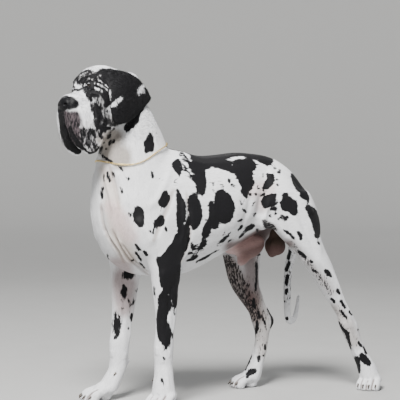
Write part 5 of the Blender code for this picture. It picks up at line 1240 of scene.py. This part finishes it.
def tuft_share(points, normals):
    """Where blades grow: a thin cover, and more on the edges of the form."""
    under = soft_step(-normals[:, 2], 0.25, 0.75) * soft_step(points[:, 2], 0.40, 0.48)
    behind = soft_step(normals[:, 0], 0.45, 0.85)
    ridge = soft_step(normals[:, 2], 0.80, 0.96) * soft_step(points[:, 2], 0.70, 0.80)
    ears = soft_step(node_field(points, ["ear_left", "ear_right"]), -0.002, 0.002)
    tail = soft_step(node_field(points, ["tail_base", "tail_tip"]), -0.002, 0.002)
    share = 0.30 + 0.5 * under + 0.6 * behind + 0.45 * ridge + 0.3 * ears + 0.6 * tail
    bare = soft_step(node_field(points, ["nose", "scrotum", "sheath", "lower_jaw", "eye_left", "eye_right"]),
                     -0.007, -0.003)
    toes = soft_step(points[:, 2], 0.050, 0.022)
    edge = node_edge_gap(points)
    return np.clip(share * (1 - bare) * (1 - toes) * soft_step(edge, 0.004, 0.009), 0.0, 1.0)


def node_edge_gap(points):
    """The distance to the nearest face of the model's box."""
    low, high = np.array(cad_box[0]), np.array(cad_box[1])
    return np.min(np.minimum(points - low, high - points), axis=1)


BLADE_LONG, BLADE_ROOT, BLADE_FLAT = 0.0075, 0.0006, 1.5
BLADE_RINGS = ((0.0, 0.00040), (0.45, 0.00034))     # how far along, and the radius
PATCH = 0.003                                       # a tuft's width on the unwrap


def blade():
    """A closed spindle of hair, ten triangles, that keeps where each point lies on it."""
    places, faces, spots = [], [], []
    for along, radius in BLADE_RINGS:
        for k in range(3):
            turn = 2 * math.pi * k / 3
            places.append((math.cos(turn) * radius * BLADE_FLAT, math.sin(turn) * radius,
                           along * BLADE_LONG - BLADE_ROOT))
            spots.append((k / 3.0, along, 0.0))
    places.append((0.0, -0.0004, BLADE_LONG))
    spots.append((0.5, 1.0, 0.0))
    faces.append((2, 1, 0))
    for k in range(3):
        n = (k + 1) % 3
        faces += [(k, n, 3 + n, 3 + k), (3 + k, 3 + n, 6)]
    mesh = bpy.data.meshes.new("hair_blade")
    mesh.from_pydata(places, [], faces)
    layer = mesh.attributes.new("blade_spot", "FLOAT_VECTOR", "POINT")
    layer.data.foreach_set("vector", np.array(spots, dtype=np.float32).ravel())
    return new_object("hair_blade", mesh)


TRUNK_CORE = 0.66               # the height of the trunk's middle line
LEGS_BELOW = 0.46
LEG_CORE_X = (-0.30, 0.45)      # of the forelegs and the hind legs
LEG_CORE_Y = (-0.09, 0.12)      # of the left legs and the right legs


def unwrap(roots):
    """A place from 0 to 1 for each root: the trunk with the head, and each leg, opened like tubes."""
    x, y, z = roots[:, 0], roots[:, 1], roots[:, 2]
    trunk_turn = np.arctan2(y - MIDDLE, z - TRUNK_CORE) / (2 * np.pi) + 0.5
    core_x, core_y = np.where(x < 0, *LEG_CORE_X), np.where(y < MIDDLE, *LEG_CORE_Y)
    leg_turn = np.arctan2(y - core_y, x - core_x) / (2 * np.pi) + 0.5
    leg = (x > 0).astype(float) + 2 * (y > MIDDLE)
    trunk_u, trunk_v = 0.01 + 0.58 * (x + 0.62) / 1.25, 0.01 + 0.98 * trunk_turn
    leg_u, leg_v = 0.61 + 0.38 * leg_turn, 0.01 + 0.24 * leg + 0.22 * z / 0.5
    low = z < LEGS_BELOW
    return np.column_stack([np.where(low, leg_u, trunk_u), np.where(low, leg_v, trunk_v)])


STRAY, SHORTEST, LONGEST = 0.16, 0.55, 1.25
# Name, blades to the square metre at full share, seed, and the corners between which they grow.
COATS = (("coat_head", 90000.0, 3, (-9, -9, 0.90), (-0.26, 9, 9)),
         ("coat_trunk", 26000.0, 5, (-9, -9, LEGS_BELOW), (9, 9, 0.90)),
         ("coat_legs", 34000.0, 7, (-9, -9, -9), (9, 9, LEGS_BELOW)))


def tufts(name, density, seed, low, high):
    """Blades on the part of the skin between two corners, as one piece of coat."""
    inside = np.all((tuft_points > low) & (tuft_points < high), axis=1)
    put_float(skin.data, "tuft_here", tuft_at * inside)
    recipe = Recipe(name + "_recipe", Density=density, Seed=seed, Shortest=SHORTEST, Longest=LONGEST,
                    Coat=skin.data.materials[0])
    given = recipe.given.outputs
    spread = recipe.tree.nodes.new("GeometryNodeDistributePointsOnFaces")
    spread.distribute_method = "RANDOM"
    amount = recipe.node("ShaderNodeMath", {"operation": "MULTIPLY"})
    product = amount.node
    recipe.tree.links.new(recipe.kept("tuft_here", "FLOAT"), product.inputs[0])
    recipe.tree.links.new(given["Density"], product.inputs[1])
    recipe.tree.links.new(given["Geometry"], spread.inputs["Mesh"])
    recipe.tree.links.new(amount, spread.inputs["Density"])
    recipe.tree.links.new(given["Seed"], spread.inputs["Seed"])
    rooted = recipe.node("GeometryNodeStoreNamedAttribute", {"data_type": "FLOAT_VECTOR", "domain": "POINT"},
                         Geometry=spread.outputs["Points"], Name="root_place",
                         Value=recipe.node("GeometryNodeInputPosition"))
    jitter = recipe.node("FunctionNodeRandomValue", {"data_type": "FLOAT_VECTOR"},
                         Min=(-STRAY,) * 3, Max=(STRAY,) * 3, Seed=given["Seed"])
    way = recipe.node("ShaderNodeVectorMath", {"operation": "ADD"})
    recipe.tree.links.new(recipe.kept("hair_way", "FLOAT_VECTOR"), way.node.inputs[0])
    recipe.tree.links.new(jitter, way.node.inputs[1])
    aligned = recipe.node("FunctionNodeAlignRotationToVector", {"axis": "Z"}, Vector=way)
    size = recipe.node("FunctionNodeRandomValue", {"data_type": "FLOAT"}, Min=given["Shortest"],
                       Max=given["Longest"], Seed=given["Seed"])
    shape = recipe.tree.nodes.new("GeometryNodeObjectInfo")
    shape.inputs["Object"].default_value = hair_blade
    grown = recipe.node("GeometryNodeInstanceOnPoints", Points=rooted, Instance=shape.outputs["Geometry"],
                        Rotation=aligned, Scale=size)
    piece = new_object(name, recipe.grow(skin, grown, "Coat"))
    mesh = piece.data
    roots, spots = np.empty(3 * len(mesh.vertices)), np.empty(3 * len(mesh.vertices))
    mesh.attributes["root_place"].data.foreach_get("vector", roots)
    mesh.attributes["blade_spot"].data.foreach_get("vector", spots)
    place = unwrap(roots.reshape(-1, 3)) + (spots.reshape(-1, 3)[:, :2] - 0.5) * PATCH
    corner = np.empty(len(mesh.loops), dtype=np.int32)
    mesh.loops.foreach_get("vertex_index", corner)
    for layer in list(mesh.uv_layers):
        mesh.uv_layers.remove(layer)
    layer = mesh.uv_layers.new(name="OFBake")
    layer.data.foreach_set("uv", place[corner].astype(np.float32).ravel())
    for key in ("root_place", "blade_spot", "hair_way", "tuft_here"):
        if key in mesh.attributes:
            mesh.attributes.remove(mesh.attributes[key])
    shade_smooth(mesh)
    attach(piece, "root")
    return piece


tuft_points, tuft_normals = get_points(skin.data), get_normals(skin.data)
tuft_at = tuft_share(tuft_points, tuft_normals)
layer = skin.data.attributes.new("hair_way", "FLOAT_VECTOR", "POINT")
layer.data.foreach_set("vector", hair_ways(tuft_points, tuft_normals).astype(np.float32).ravel())
hair_blade = blade()
for name, density, seed, low, high in COATS:
    tufts(name, density, seed, np.array(low), np.array(high))
bpy.data.objects.remove(hair_blade, do_unlink=True)
for key in ("hair_way", "tuft_here"):
    skin.data.attributes.remove(skin.data.attributes[key])

# Floor and light.

def floor_paint():
    paint = Paint("pale_floor")
    grain = paint.noise(paint.place(), 6.0, 2.0)
    far = paint.add("ShaderNodeVectorMath", {"operation": "LENGTH"}, paint.place(), output="Value")
    near = paint.mix(grain, (0.36, 0.36, 0.355), (0.40, 0.40, 0.395))
    return paint.feed(Base_Color=paint.mix(far.ramp(4.0, 9.0), near, (0.86, 0.86, 0.85)),
                      Roughness=0.7 + grain * 0.1)


def make_floor():
    """A round floor that sweeps up into a low wall on every side, beyond any camera."""
    flat, bend, steps, around = 8.5, 4.0, 16, 96
    profile = [(r, 0.0) for r in (0.5, 2.0, 4.0, 6.0, flat)]
    profile += [(flat + bend * math.sin(a), bend - bend * math.cos(a))
                for a in np.linspace(0.0, math.pi / 2, steps + 1)[1:]]
    corners = [(r * math.cos(math.tau * i / around), r * math.sin(math.tau * i / around), z)
               for r, z in profile for i in range(around)]
    rows = [tuple(range(around))]
    rows += [(k + i, k + around + i, k + around + (i + 1) % around, k + (i + 1) % around)
             for k in range(0, (len(profile) - 1) * around, around) for i in range(around)]
    mesh = bpy.data.meshes.new("floor")
    mesh.from_pydata(corners, [], rows)
    shade_smooth(mesh)
    mesh.materials.append(floor_paint())
    new_object("floor", mesh)


make_floor()


def soft_light(name, place, aim, size, power, tint=(1.0, 1.0, 1.0)):
    light = bpy.data.lights.new(name, "AREA")
    light.size, light.energy, light.color = size, power, tint
    lamp = bpy.data.objects.new(name, light)
    bpy.context.collection.objects.link(lamp)
    lamp.location = place
    lamp.rotation_euler = (Vector(aim) - Vector(place)).to_track_quat("-Z", "Y").to_euler()


soft_light("key", (-2.6, -2.6, 5.2), (0, 0, 0.7), 1.8, 1150.0, (1.0, 0.99, 0.97))
soft_light("fill", (3.0, -4.5, 2.2), (0, 0, 0.6), 3.5, 40.0, (0.96, 0.98, 1.0))
soft_light("back", (1.0, 3.6, 4.2), (0, 0, 0.8), 2.6, 90.0)
world = bpy.data.worlds.new("studio")
bpy.context.scene.world = world
world.use_nodes = True
world.node_tree.nodes["Background"].inputs["Color"].default_value = (0.80, 0.81, 0.82, 1.0)
world.node_tree.nodes["Background"].inputs["Strength"].default_value = 0.24
